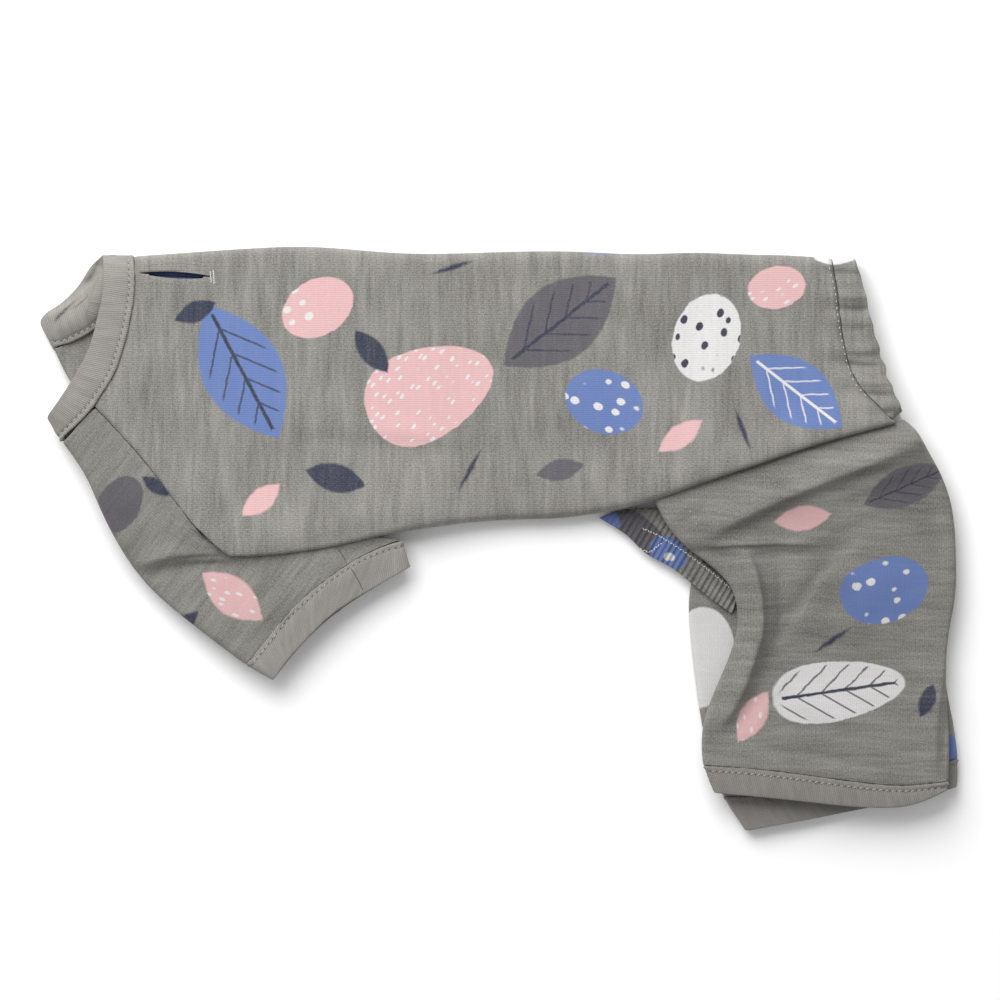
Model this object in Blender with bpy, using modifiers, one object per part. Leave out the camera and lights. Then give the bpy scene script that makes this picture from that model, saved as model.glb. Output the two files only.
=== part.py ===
import math

import bmesh
import bpy
from mathutils import Vector

# Overall sizes of the suit as it lies on its side, in metres.
LENGTH = 0.4145  # neck corner to the tail side of the legs
WIDTH = 0.2633  # back fold to the lowest leg cuff
BODY_RISE = 0.0120  # top of the body cloth above the table
FAR_SLEEVE_RISE = 0.0050
FAR_LEG_RISE = 0.0042
SLEEVE_FLOOR = 0.0063  # underside of the near sleeve, which lies on the far one
PRESSED_RISE = 0.0122  # top of the near cuff at the underarm
SLEEVE_RISE = 0.0113  # top of the near sleeve below its crease
LEG_FLOOR = 0.0073
LEG_RISE = 0.0122
CUFF_RISE = 0.0073  # height of one cuff, folded rib top and bottom with an open mouth between

# Cloth.
JERSEY = 0.0010
RIB = 0.0014  # bands are a doubled rib knit
BACK_FOLD = 0.0050  # how far in from the fold the cloth takes to turn level
EDGE_FOLD = 0.0034
BELLY_FOLD = 0.0040
LIP = 0.0025  # how far the belly edge turns down over a limb
GAP = 0.0004  # clearance where two pieces are sewn edge to edge
FAR_LIFT = 0.0043  # the far neck cloth is held up by the band folded under it

# Leash slot through the near side, just behind the neck band.
SLOT_LONG = 0.0325
SLOT_WIDE = 0.0022
SLOT_AT = (0.1509, 0.9496)
SLOT_TURN = -3.0  # degrees

# All positions below are shares of LENGTH from the neck end and of WIDTH up from the lowest cuff.
# Neck band, one row for each section of the ring: where it is sewn on, its free edge,
# the height of both as shares of BODY_RISE, and how far its middle crowns up.
# Rows 0 to 8 are the near half, 8 to 14 the stretch folded under, 14 to 18 the far half.
BAND = (
    # seam_x, seam_y, edge_x, edge_y, seam_z, edge_z, crown
    (0.1053, 0.9821, 0.0706, 0.9821, 0.50, 0.50, 0.00),
    (0.1075, 0.9573, 0.0727, 0.9556, 0.93, 0.93, 0.02),
    (0.1075, 0.9231, 0.0717, 0.9145, 0.97, 0.97, 0.03),
    (0.1031, 0.8752, 0.0662, 0.8786, 0.98, 0.98, 0.03),
    (0.0955, 0.8274, 0.0597, 0.8359, 0.99, 0.99, 0.03),
    (0.0847, 0.7795, 0.0478, 0.7932, 1.01, 1.00, 0.03),
    (0.0630, 0.7256, 0.0304, 0.7504, 1.02, 1.01, 0.03),
    (0.0445, 0.6940, 0.0195, 0.7248, 0.98, 0.98, 0.02),
    (0.0271, 0.6650, 0.0119, 0.7060, 0.62, 0.62, 0.00),
    (0.0521, 0.6701, 0.0413, 0.7162, 0.25, 0.25, 0.00),
    (0.0782, 0.6803, 0.0706, 0.7282, 0.25, 0.25, 0.00),
    (0.0890, 0.6974, 0.0825, 0.7436, 0.16, 0.16, 0.00),
    (0.0738, 0.7197, 0.0738, 0.7658, 0.065, 0.065, 0.00),
    (0.0456, 0.7641, 0.0434, 0.8137, 0.065, 0.065, 0.00),
    (0.0179, 0.8239, 0.0022, 0.8709, 0.24, 0.24, 0.05),
    (0.0326, 0.8316, 0.0228, 0.8974, 0.54, 0.36, 0.36),
    (0.0630, 0.8564, 0.0434, 0.9282, 0.54, 0.36, 0.40),
    (0.0858, 0.8991, 0.0565, 0.9615, 0.54, 0.36, 0.34),
    (0.0999, 0.9487, 0.0651, 0.9761, 0.54, 0.40, 0.12),
)
NEAR_HALF = 8
FAR_HALF = 14
BACK_NECK = 6  # the band row where the back, the sleeve and the band meet

# Seam between the near sleeve and the back, from the neck band down.
RAGLAN = (
    # x, y
    (0.0630, 0.7256),
    (0.0955, 0.6718),
    (0.1260, 0.6154),
    (0.1520, 0.5607),
    (0.1802, 0.5077),
    (0.2096, 0.4684),
)

# Body, one row for each section from neck to tail: the back fold, the near belly edge,
# the far belly edge, and how far the two belly edges gape where limbs come out.
BODY = (
    # back_x, back_y, near_x, near_y, far_x, far_y, gape
    (0.1053, 0.9821, 0.2096, 0.4684, 0.0179, 0.8239, 1.0),
    (0.1401, 0.9863, 0.2454, 0.4701, 0.0369, 0.7624, 1.0),
    (0.1835, 0.9915, 0.2888, 0.4769, 0.0847, 0.6769, 1.0),
    (0.2324, 0.9966, 0.3322, 0.4889, 0.1618, 0.5812, 1.0),
    (0.2866, 1.0000, 0.3757, 0.5060, 0.2649, 0.5299, 1.0),
    (0.3409, 0.9949, 0.4169, 0.5162, 0.3789, 0.5248, 0.6),
    (0.3952, 0.9880, 0.4582, 0.5248, 0.4582, 0.5248, 0.0),
    (0.4549, 0.9880, 0.5125, 0.5316, 0.5125, 0.5316, 0.0),
    (0.5201, 0.9915, 0.5646, 0.5333, 0.5646, 0.5333, 0.0),
    (0.5852, 0.9915, 0.6124, 0.5436, 0.6124, 0.5436, 0.0),
    (0.6504, 0.9863, 0.6612, 0.5607, 0.6569, 0.5709, 0.7),
    (0.7101, 0.9897, 0.7188, 0.5932, 0.7144, 0.6085, 1.0),
    (0.7644, 0.9863, 0.7774, 0.6239, 0.7731, 0.6410, 1.0),
    (0.8154, 0.9846, 0.8512, 0.6632, 0.8426, 0.6786, 1.0),
    (0.8610, 0.9795, 0.9305, 0.6957, 0.9164, 0.7094, 0.9),
)
RETURN_FRONT = 3.0  # how fast the slant of the front seam dies out along the body
RETURN_REAR = 3.0

# Rear seam, where the tail casing is turned and stitched, from the back fold down.
REAR_SEAM = (
    # x, y
    (0.8610, 0.9795),
    (0.8664, 0.9299),
    (0.8708, 0.8718),
    (0.8762, 0.8171),
    (0.8871, 0.7692),
    (0.9055, 0.7350),
    (0.9305, 0.6957),
)
# Free edge of the tail casing.
TAIL_EDGE = (
    # x, y
    (0.8860, 0.9795),
    (0.8947, 0.9385),
    (0.9012, 0.8940),
    (0.9077, 0.8513),
    (0.9164, 0.8051),
    (0.9251, 0.7607),
    (0.9392, 0.7162),
)
CASING_WAVES = 6
CASING_PUCKER = 0.0007

# Near sleeve, one row for each section from neck to cuff: front fold and underarm fold.
NEAR_SLEEVE = (
    # front_x, front_y, under_x, under_y
    (0.0271, 0.6650, 0.2117, 0.4718),
    (0.0521, 0.6103, 0.2150, 0.4632),
    (0.0684, 0.5504, 0.2226, 0.4667),
    (0.0901, 0.4838, 0.2454, 0.4821),
    (0.1205, 0.4171, 0.2997, 0.4974),
    (0.1694, 0.3521, 0.3496, 0.5060),
    (0.2269, 0.2838, 0.3931, 0.4986),
)
SLEEVE_SEAM = (
    # x, y
    (0.2269, 0.2838),
    (0.2638, 0.3556),
    (0.2932, 0.4034),
    (0.3366, 0.4547),
    (0.3713, 0.4838),
    (0.3963, 0.4974),
)
SLEEVE_EDGE = (
    # x, y
    (0.2562, 0.2581),
    (0.2736, 0.2957),
    (0.2953, 0.3333),
    (0.3214, 0.3726),
    (0.3550, 0.4068),
    (0.4050, 0.4513),
)
# The fold of the shoulder that hangs over the lower sleeve, from the front fold inwards.
CREASE = (
    # x, y
    (0.1042, 0.4342),
    (0.1260, 0.4547),
    (0.1542, 0.4632),
    (0.1846, 0.4632),
    (0.2150, 0.4701),
)

# Far sleeve, hidden under the near one, butted to the far side of the body.
FAR_SLEEVE = (
    # front_x, front_y, under_x, under_y
    (0.0543, 0.6376, 0.3355, 0.4974),
    (0.0760, 0.5675, 0.3496, 0.4940),
    (0.1031, 0.4838, 0.3637, 0.4906),
    (0.1346, 0.4222, 0.3768, 0.4872),
    (0.1824, 0.3556, 0.3855, 0.4855),
    (0.2345, 0.2974, 0.3898, 0.4850),
)
FAR_SLEEVE_TOP = (
    # x, y
    (0.0543, 0.6376),
    (0.1075, 0.6222),
    (0.1726, 0.5470),
    (0.2541, 0.5077),
    (0.3355, 0.4974),
)
FAR_SLEEVE_SEAM = (
    # x, y
    (0.2345, 0.2974),
    (0.2704, 0.3607),
    (0.3084, 0.4154),
    (0.3485, 0.4547),
    (0.3931, 0.4838),
)
FAR_SLEEVE_EDGE = (
    # x, y
    (0.2541, 0.2752),
    (0.2866, 0.3316),
    (0.3192, 0.3778),
    (0.3583, 0.4188),
    (0.3996, 0.4547),
)

# Near leg, one row for each section from the belly to the cuff: belly side and tail side.
NEAR_LEG = (
    # belly_x, belly_y, tail_x, tail_y
    (0.6688, 0.5675, 0.9403, 0.7026),
    (0.6830, 0.5214, 0.9533, 0.6855),
    (0.7036, 0.4855, 0.9663, 0.6496),
    (0.7307, 0.4530, 0.9826, 0.6034),
    (0.7546, 0.4137, 0.9935, 0.5470),
    (0.7600, 0.3556, 0.9967, 0.4769),
    (0.7514, 0.3026, 0.9967, 0.4068),
    (0.7372, 0.2496, 0.9891, 0.3419),
    (0.7242, 0.1983, 0.9848, 0.2650),
    (0.7199, 0.1538, 0.9891, 0.1744),
    (0.7220, 0.1145, 0.9881, 0.0872),
)
LEG_TOP = (
    # x, y
    (0.6688, 0.5675),
    (0.7210, 0.6068),
    (0.7752, 0.6376),
    (0.8295, 0.6667),
    (0.8860, 0.6855),
    (0.9403, 0.7026),
)
LEG_SEAM = (
    # x, y
    (0.7220, 0.1145),
    (0.7752, 0.1094),
    (0.8317, 0.0991),
    (0.8860, 0.0872),
    (0.9381, 0.0803),
    (0.9881, 0.0872),
)
LEG_EDGE = (
    # x, y
    (0.7340, 0.0667),
    (0.7839, 0.0598),
    (0.8360, 0.0513),
    (0.8903, 0.0427),
    (0.9435, 0.0444),
    (0.9870, 0.0718),
)

# Far leg, which shows left of, right of and below the near one.
FAR_LEG = (
    # belly_x, belly_y, tail_x, tail_y
    (0.7155, 0.4547, 0.9403, 0.6632),
    (0.7079, 0.4137, 0.9663, 0.5983),
    (0.7068, 0.3692, 0.9805, 0.5162),
    (0.7101, 0.3111, 0.9859, 0.4137),
    (0.7155, 0.2427, 0.9837, 0.3282),
    (0.7210, 0.1829, 0.9859, 0.2530),
    (0.7296, 0.1197, 0.9946, 0.1949),
    (0.7438, 0.0598, 1.0000, 0.1248),
)
FAR_LEG_TOP = (
    # x, y
    (0.7155, 0.4547),
    (0.7698, 0.5333),
    (0.8295, 0.5983),
    (0.8860, 0.6393),
    (0.9403, 0.6632),
)
FAR_LEG_SEAM = (
    # x, y
    (0.7438, 0.0598),
    (0.8078, 0.0650),
    (0.8730, 0.0769),
    (0.9381, 0.0974),
    (1.0000, 0.1248),
)
FAR_LEG_EDGE = (
    # x, y
    (0.7687, 0.0000),
    (0.8295, 0.0171),
    (0.8947, 0.0376),
    (0.9490, 0.0547),
    (0.9989, 0.0752),
)

# Gathered belly casing of the far side, from the body to the near leg.
BELLY_CASING = (
    # low_x, low_y, high_x, high_y, height
    (0.6102, 0.5350, 0.6276, 0.5462, 0.30),
    (0.6384, 0.5077, 0.6580, 0.5521, 0.32),
    (0.6602, 0.4752, 0.6862, 0.5419, 0.36),
    (0.6873, 0.4513, 0.7079, 0.5060, 0.44),
    (0.7101, 0.4239, 0.7231, 0.4598, 0.467),
    (0.7329, 0.3949, 0.7438, 0.4325, 0.467),
    (0.7546, 0.3709, 0.7611, 0.4068, 0.467),
)
GATHER_WAVES = 10
GATHER_DEEP = 0.0005

# Folds of the near side: a curve through three points, the rise at both ends, and half the width.
BODY_FOLDS = (
    # x0, y0, xm, ym, x1, y1, rise0, rise1, half_width
    (0.0912, 0.5675, 0.2432, 0.4393, 0.4169, 0.5419, 0.30, 0.32, 0.055),
    (0.6721, 0.5744, 0.7970, 0.6359, 0.9327, 0.7111, 0.36, 0.42, 0.042),
    (0.3952, 0.6598, 0.4821, 0.6427, 0.5798, 0.6564, -0.09, -0.09, 0.022),
    (0.1238, 0.8581, 0.1401, 0.7385, 0.1781, 0.6017, -0.05, -0.05, 0.030),
    (0.7101, 0.9607, 0.7210, 0.7897, 0.7101, 0.6530, 0.05, 0.05, 0.060),
    (0.5689, 0.9607, 0.5635, 0.7726, 0.5689, 0.6188, -0.05, -0.04, 0.040),
)
SLEEVE_FOLDS = (
    # x0, y0, xm, ym, x1, y1, rise0, rise1, half_width
    (0.1238, 0.3966, 0.2215, 0.3966, 0.3192, 0.4650, -0.06, -0.06, 0.020),
    (0.1672, 0.3761, 0.2269, 0.3658, 0.2704, 0.4137, 0.06, 0.06, 0.018),
)
LEG_FOLDS = (
    # x0, y0, xm, ym, x1, y1, rise0, rise1, half_width
    (0.6862, 0.5333, 0.8078, 0.5538, 0.9522, 0.6684, 0.12, 0.48, 0.018),
    (0.7340, 0.5333, 0.8187, 0.5675, 0.9381, 0.6530, 0.12, 0.20, 0.018),
    (0.7101, 0.4906, 0.7915, 0.4821, 0.8675, 0.4889, -0.08, -0.16, 0.014),
    (0.7731, 0.4718, 0.8132, 0.3282, 0.7296, 0.1778, 0.48, 0.30, 0.015),
    (0.7948, 0.4547, 0.8187, 0.3795, 0.7904, 0.2803, -0.28, -0.16, 0.013),
    (0.8708, 0.4821, 0.8458, 0.4103, 0.8143, 0.3453, -0.14, -0.20, 0.010),
    (0.8295, 0.4650, 0.8947, 0.4137, 0.9707, 0.3966, 0.08, 0.05, 0.040),
    (0.7698, 0.2427, 0.7535, 0.2051, 0.7340, 0.1744, -0.16, -0.16, 0.010),
)


def place(x, y):
    """A position on the table in metres, from its shares of length and width."""
    return Vector(((x - 0.5) * LENGTH, (y - 0.5) * WIDTH))


def spline(rows, t):
    """A smooth curve through the rows of a table, at share t of the way through it."""
    last = len(rows) - 1
    k = max(0, min(int(t * last), last - 1))
    f = t * last - k
    around = (rows[max(k - 1, 0)], rows[k], rows[k + 1], rows[min(k + 2, last)])
    return [
        0.5 * (2 * b + (c - a) * f + (2 * a - 5 * b + 4 * c - d) * f**2 + (3 * b - a - 3 * c + d) * f**3)
        for a, b, c, d in zip(*around)
    ]


def along(rows, t):
    return place(*spline(rows, t)[:2])


def ease(t):
    t = max(0.0, min(1.0, t))
    return t * t * (3 - 2 * t)


def mix(a, b, t):
    return a + (b - a) * t


def folds_at(point, folds):
    """Height that the folds add over one point of the table."""
    total = 0.0
    for x0, y0, xm, ym, x1, y1, rise0, rise1, half_width in folds:
        ends = (place(x0, y0), place(xm, ym), place(x1, y1))
        nearest = None
        for step in range(13):
            t = step / 12
            spot = ends[0] * (1 - t) ** 2 + ends[1] * 2 * t * (1 - t) + ends[2] * t**2
            reach = (spot - point).length
            if nearest is None or reach < nearest[0]:
                nearest = (reach, t)
        reach, t = nearest
        total += mix(rise0, rise1, t) * math.exp(-((reach / (half_width * LENGTH)) ** 2))
    return total * BODY_RISE


def body_top(point):
    return BODY_RISE + folds_at(point, BODY_FOLDS)


def body_floor(point):
    """Underside of the far cloth: flat on the table, lifted at the neck by the band under it."""
    share = point.x / LENGTH + 0.5
    return FAR_LIFT * (1 - ease((share - 0.115) / 0.05))


def crease_drop(point):
    """0 on the shoulder above the crease, 1 on the lower sleeve and where it goes under the body."""
    x = point.x / LENGTH + 0.5
    first, last = CREASE[0][0], CREASE[-1][0]
    t = max(0.0, min(1.0, (x - first) / (last - first)))
    line = spline(CREASE, t)[1] * WIDTH
    below = line - (point.y + 0.5 * WIDTH)
    inward = (x - spline(RAGLAN, 0.72)[0]) * LENGTH
    return max(ease(below / 0.003 + 0.5), ease(inward / 0.004))


def across(fold_start, fold_end, inner):
    """Shares across a section, with three steps round each folded edge, and the sine of each turn."""
    turns = [math.radians(a) for a in (0, 30, 60, 90)]
    first = [(fold_start * (1 - math.cos(a)), math.sin(a)) for a in turns]
    middle = [(max(fold_start * 1.2, min(1 - fold_end * 1.2, q)), 1.0) for q in inner[1:-1]]
    last = [(1 - fold_end * (1 - math.cos(a)), math.sin(a)) for a in reversed(turns)]
    return first + middle + last


def steps(start, end, count):
    return [start + (end - start) * k / count for k in range(count + 1)]


def material(name, color, roughness):
    made = bpy.data.materials.new(name)
    made.use_nodes = True
    shader = made.node_tree.nodes["Principled BSDF"]
    shader.inputs["Base Color"].default_value = (*color, 1.0)
    shader.inputs["Roughness"].default_value = roughness
    return made


def cloth(name, grids, wall, offset, look):
    """One piece of cloth: grids of points skinned with faces, sewn where they meet, then thickened."""
    mesh = bpy.data.meshes.new(name)
    build = bmesh.new()
    for grid in grids:
        rows = [[build.verts.new(point) for point in row] for row in grid]
        for here, there in zip(rows, rows[1:]):
            for k in range(len(here) - 1):
                build.faces.new((here[k], there[k], there[k + 1], here[k + 1]))
    bmesh.ops.remove_doubles(build, verts=build.verts, dist=1e-6)
    build.to_mesh(mesh)
    build.free()
    mesh.shade_smooth()
    piece = bpy.data.objects.new(name, mesh)
    piece.data.materials.append(look)
    suit.objects.link(piece)
    thick = piece.modifiers.new("Wall", "SOLIDIFY")
    thick.thickness = wall
    thick.offset = offset
    thick.use_quality_normals = True
    return piece


def limb(name, sections, top, bottom, start, end, inner, count, heights, look, wall):
    """A flattened sleeve or leg: sections between two folded sides, from share start to end along it."""
    loops = []
    for v in steps(start, end, count):
        row = spline(sections, v)
        left, right = place(*row[:2]), place(*row[2:4])
        fold = EDGE_FOLD / (right - left).length
        sides = []
        for side, shares in ((1, inner), (0, steps(0.0, 1.0, 4))):
            line = []
            for q, turn in across(fold, fold, shares):
                spot = left.lerp(right, q)
                spot += (top(q) - top(0.0).lerp(top(1.0), q)) * (1 - v) ** 2
                spot += (bottom(q) - bottom(0.0).lerp(bottom(1.0), q)) * v**2
                face = heights(spot, v, q)
                middle = sum(face) / 2
                line.append(Vector((spot.x, spot.y, mix(middle, face[side], turn))))
            sides.append(line)
        loops.append(sides[0] + sides[1][::-1])
    return cloth(name, [loops], wall, -1.0, look)


def cuff(name, seam, edge, levels, inner, look):
    """A rib cuff: a flattened ring between its seam and its free edge, with a fold at each end."""
    width = (along(seam, 0.5) - along(edge, 0.5)).length
    loops = []
    for v in steps(2 * GAP / width, 1.0, 2):
        fold = EDGE_FOLD / (along(seam, 0.0) - along(seam, 1.0)).length
        sides = []
        for side, shares in ((1, inner), (0, steps(0.0, 1.0, 4))):
            line = []
            for q, turn in across(fold, fold, shares):
                spot = along(seam, q).lerp(along(edge, q), v)
                face = levels(q)
                middle = sum(face) / 2
                line.append(Vector((spot.x, spot.y, mix(middle, face[side], turn))))
            sides.append(line)
        loops.append(sides[0] + sides[1][::-1])
    return cloth(name, [loops], RIB, -1.0, look)


for old in list(bpy.data.objects):
    bpy.data.objects.remove(old, do_unlink=True)
suit = bpy.data.collections.new("dog_jumpsuit")
cutters = bpy.data.collections.new("cutters")
for made in (suit, cutters):
    bpy.context.scene.collection.children.link(made)
cutters.hide_render = True

jersey_grey = (0.30, 0.29, 0.27)
rib_grey = (0.33, 0.32, 0.30)


# Body: near and far side in one skin, open at the neck, the tail and where limbs come out.
def front_near(v):
    split = 0.43
    if v < split:
        row = spline(BAND[: BACK_NECK + 1], v / split)
        return place(row[0], row[1])
    return along(RAGLAN, (v - split) / (1 - split))


def front_far(v):
    rows = [BAND[0]] + list(BAND[:FAR_HALF - 1:-1])
    row = spline(rows, v)
    return place(row[0], row[1])


def body_spot(u, q, column, front):
    row = spline(BODY, u)
    back, belly = place(*row[:2]), place(*row[column:column + 2])
    spot = back.lerp(belly, q)
    spot += (front(q) - front(0.0).lerp(front(1.0), q)) * (1 - u) ** RETURN_FRONT
    spot += (along(REAR_SEAM, q) - along(REAR_SEAM, 0.0).lerp(along(REAR_SEAM, 1.0), q)) * u**RETURN_REAR
    return spot


near_grid, far_grid = [], []
for u in steps(0.0, 1.0, 28):
    row = spline(BODY, u)
    back, near_belly, far_belly = place(*row[:2]), place(*row[2:4]), place(*row[4:6])
    station = u * (len(BODY) - 1)
    beside = BODY[math.floor(station + 1e-6)], BODY[math.ceil(station - 1e-6)]
    shut = beside[0][6] == beside[1][6] == 0.0
    gape = 0.0 if shut else max(0.25, min(1.0, row[6]))
    if shut:
        far_belly = near_belly
    for column, front, inner, grid in (
        (2, front_near, steps(0.0, 0.43, 5) + steps(0.43, 1.0, 7)[1:], near_grid),
        (4, front_far, steps(0.0, 1.0, 4), far_grid),
    ):
        belly = near_belly if column == 2 or shut else far_belly
        wide = (belly - back).length
        line = []
        for q, turn in across(BACK_FOLD / wide, BELLY_FOLD / wide, inner):
            spot = body_spot(u, q, 2 if shut else column, front)
            high, low = body_top(spot), body_floor(spot)
            middle = (high + low) / 2
            face, lip = (high, high - LIP) if column == 2 else (low, low + LIP * 0.2)
            edge = middle if q < 0.5 else mix(middle, lip, gape)
            line.append(Vector((spot.x, spot.y, mix(edge, face, turn))))
        grid.append(line[::-1] if column == 2 else line)
body = cloth("body", [near_grid, far_grid], JERSEY, -1.0, material("jersey_body", jersey_grey, 0.9))

# Leash slot: a lens-shaped cutter through the near side only.
bpy.ops.mesh.primitive_cylinder_add(vertices=28, radius=0.5, depth=1.0)
slot = bpy.context.object
slot.name = "slot_cutter"
for old in list(slot.users_collection):
    old.objects.unlink(slot)
cutters.objects.link(slot)
slot.display_type = "WIRE"
slot.hide_render = True
for corner in slot.data.vertices:
    slim = 1.0 - 0.55 * abs(corner.co.x * 2) ** 2
    corner.co.x *= SLOT_LONG
    corner.co.y *= SLOT_WIDE * slim
    corner.co.z *= BODY_RISE * 0.6
slot_at = place(*SLOT_AT)
slot.location = (slot_at.x, slot_at.y, BODY_RISE)
slot.rotation_euler = (0.0, 0.0, math.radians(SLOT_TURN))
cut = body.modifiers.new("Leash slot", "BOOLEAN")
cut.object = slot
cut.operation = "DIFFERENCE"
cut.solver = "EXACT"

# Neck band: one closed ring of rib, folded at the back, under the chest and at its far corner.
ring = []
sections = list(BAND) + [BAND[0]]
count = 2 * (len(sections) - 1)
for k in range(count):
    place_in = k / count * (len(sections) - 1)
    j = int(place_in)
    f = place_in - j
    a, b, c, d = (BAND[(j + n) % len(BAND)] for n in (-1, 0, 1, 2))
    row = [
        0.5 * (2 * q + (r - p) * f + (2 * p - 5 * q + 4 * r - s) * f**2 + (3 * q - p - 3 * r + s) * f**3)
        for p, q, r, s in zip(a, b, c, d)
    ]
    seam, edge = place(*row[:2]), place(*row[2:4])
    seam += (edge - seam).normalized() * GAP * 2.2
    line = []
    for q in (0.0, 0.3, 0.55, 0.8, 1.0):
        spot = seam.lerp(edge, q)
        height = mix(row[4], row[5], q) + row[6] * math.sin(math.pi * q)
        line.append(Vector((spot.x, spot.y, height * BODY_RISE)))
    ring.append(line)
ring.append(ring[0])
cloth("neck_band", [ring], RIB, 0.0, material("rib_neck", rib_grey, 0.9))


# Near sleeve and its cuff.
def sleeve_top(q):
    neck_end, raglan_end = 0.16, 0.90
    if q < neck_end:
        row = spline(BAND[BACK_NECK:NEAR_HALF + 1], 1 - q / neck_end)
        return place(row[0], row[1])
    if q < raglan_end:
        return along(RAGLAN, 0.9 * (q - neck_end) / (raglan_end - neck_end))
    start = along(RAGLAN, 0.9)
    return start.lerp(place(*NEAR_SLEEVE[0][2:4]), (q - raglan_end) / (1 - raglan_end))


def sleeve_mouth(q):
    """Bottom and top of the cuff, pressed lower at the underarm, where the belly edge hangs over it."""
    return CUFF_RISE + 0.0003, mix(2 * CUFF_RISE + 0.0003, PRESSED_RISE, ease((q - 0.55) / 0.4))


def sleeve_heights(spot, v, q):
    open_mouth = ease((v - 0.7) / 0.3)
    low, high = sleeve_mouth(q)
    low = mix(SLEEVE_FLOOR, low, open_mouth)
    lower = mix(SLEEVE_RISE, high, open_mouth) + folds_at(spot, SLEEVE_FOLDS)
    return low, mix(body_top(spot), lower, crease_drop(spot))


sleeve_inner = steps(0.0, 0.16, 2) + steps(0.16, 0.9, 8)[1:] + steps(0.9, 1.0, 2)[1:]
limb(
    "sleeve_near", NEAR_SLEEVE, sleeve_top, lambda q: along(SLEEVE_SEAM, q), 0.010, 1.0,
    sleeve_inner, 11, sleeve_heights, material("jersey_sleeve_near", jersey_grey, 0.9), JERSEY,
)
cuff(
    "cuff_sleeve_near", SLEEVE_SEAM, SLEEVE_EDGE, sleeve_mouth,
    sleeve_inner, material("rib_sleeve_near", rib_grey, 0.9),
)


# Far sleeve and its cuff, flat on the table.
def far_sleeve_heights(spot, v, q):
    return 0.0, mix(FAR_SLEEVE_RISE, CUFF_RISE, ease((v - 0.5) / 0.5))


limb(
    "sleeve_far", FAR_SLEEVE,
    lambda q: along(FAR_SLEEVE_TOP, q), lambda q: along(FAR_SLEEVE_SEAM, q), 0.0, 1.0,
    steps(0.0, 1.0, 6), 6, far_sleeve_heights, material("jersey_sleeve_far", jersey_grey, 0.9), JERSEY,
)
cuff(
    "cuff_sleeve_far", FAR_SLEEVE_SEAM, FAR_SLEEVE_EDGE, lambda q: (0.0, CUFF_RISE),
    steps(0.0, 1.0, 6), material("rib_sleeve_far", rib_grey, 0.9),
)


# Near leg and its cuff.
def leg_heights(spot, v, q):
    open_mouth = ease((v - 0.7) / 0.3)
    low = mix(LEG_FLOOR, CUFF_RISE + 0.0003, open_mouth)
    settle = ease(v / 0.08)
    high = mix(LEG_RISE, 2 * CUFF_RISE + 0.0003, open_mouth) + folds_at(spot, LEG_FOLDS) * settle
    return low, high


limb(
    "leg_near", NEAR_LEG, lambda q: along(LEG_TOP, q), lambda q: along(LEG_SEAM, q), 0.0, 1.0,
    steps(0.0, 1.0, 16), 18, leg_heights, material("jersey_leg_near", jersey_grey, 0.9), JERSEY,
)
cuff(
    "cuff_leg_near", LEG_SEAM, LEG_EDGE, lambda q: (CUFF_RISE + 0.0003, 2 * CUFF_RISE + 0.0006),
    steps(0.0, 1.0, 16), material("rib_leg_near", rib_grey, 0.9),
)


# Far leg and its cuff.
def far_leg_heights(spot, v, q):
    return 0.0, mix(FAR_LEG_RISE, CUFF_RISE, ease((v - 0.25) / 0.75))


limb(
    "leg_far", FAR_LEG, lambda q: along(FAR_LEG_TOP, q), lambda q: along(FAR_LEG_SEAM, q), 0.0, 1.0,
    steps(0.0, 1.0, 7), 8, far_leg_heights, material("jersey_leg_far", jersey_grey, 0.9), JERSEY,
)
cuff(
    "cuff_leg_far", FAR_LEG_SEAM, FAR_LEG_EDGE, lambda q: (0.0, CUFF_RISE),
    steps(0.0, 1.0, 7), material("rib_leg_far", rib_grey, 0.9),
)

# Tail casing: a turned hem with elastic in it, puckered along its free edge.
loops = []
for v in steps(0.03, 1.0, 2):
    wide = (place(*BODY[-1][:2]) - place(*BODY[-1][2:4])).length
    near_line, far_line = [], []
    for q, turn in across(BACK_FOLD / wide, EDGE_FOLD / wide, steps(0.0, 1.0, 14)):
        q_in = q * 0.97
        spot = along(REAR_SEAM, q_in).lerp(along(TAIL_EDGE, q), v)
        wave = math.sin(2 * math.pi * CASING_WAVES * q) * CASING_PUCKER * v * turn
        spot.x += wave * 0.8
        high, low = body_top(spot) + 0.0003 + wave, 0.0
        middle = (high + low) / 2
        near_line.append(Vector((spot.x, spot.y, mix(middle, high, turn))))
        far_line.append(Vector((spot.x, spot.y, mix(middle, low, turn))))
    loops.append(far_line + near_line[::-1])
cloth("tail_casing", [loops], RIB, -1.0, material("jersey_casing", jersey_grey, 0.9))

# Belly casing: the gathered elastic edge of the far side, seen from its inside.
rows = []
for u in steps(0.0, 1.0, 40):
    row = spline(BELLY_CASING, u)
    low, high = place(*row[:2]), place(*row[2:4])
    line = []
    for q in (0.0, 0.5, 1.0):
        spot = low.lerp(high, q)
        wave = math.sin(2 * math.pi * GATHER_WAVES * u) * GATHER_DEEP * (1 - 0.4 * q)
        line.append(Vector((spot.x, spot.y, row[4] * BODY_RISE + wave + 0.0004 * math.sin(math.pi * q))))
    rows.append(line)
cloth("belly_casing", [rows], JERSEY, 0.0, material("jersey_belly", (0.20, 0.19, 0.20), 0.9))
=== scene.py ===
# %% [markdown]
# # A dog jumpsuit laid on its side
# A stretch jersey suit with four legs, a rib band at the neck, rib cuffs and an elastic tail
# opening. The solid model already has the true outline and the large folds. Here every piece of
# it is copied, smoothed, creased, printed and stitched, until it looks like soft knitted cloth.

# %% Load the frame
import math

import bpy
import numpy as np
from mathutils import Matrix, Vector, noise
from mathutils.bvhtree import BVHTree


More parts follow.
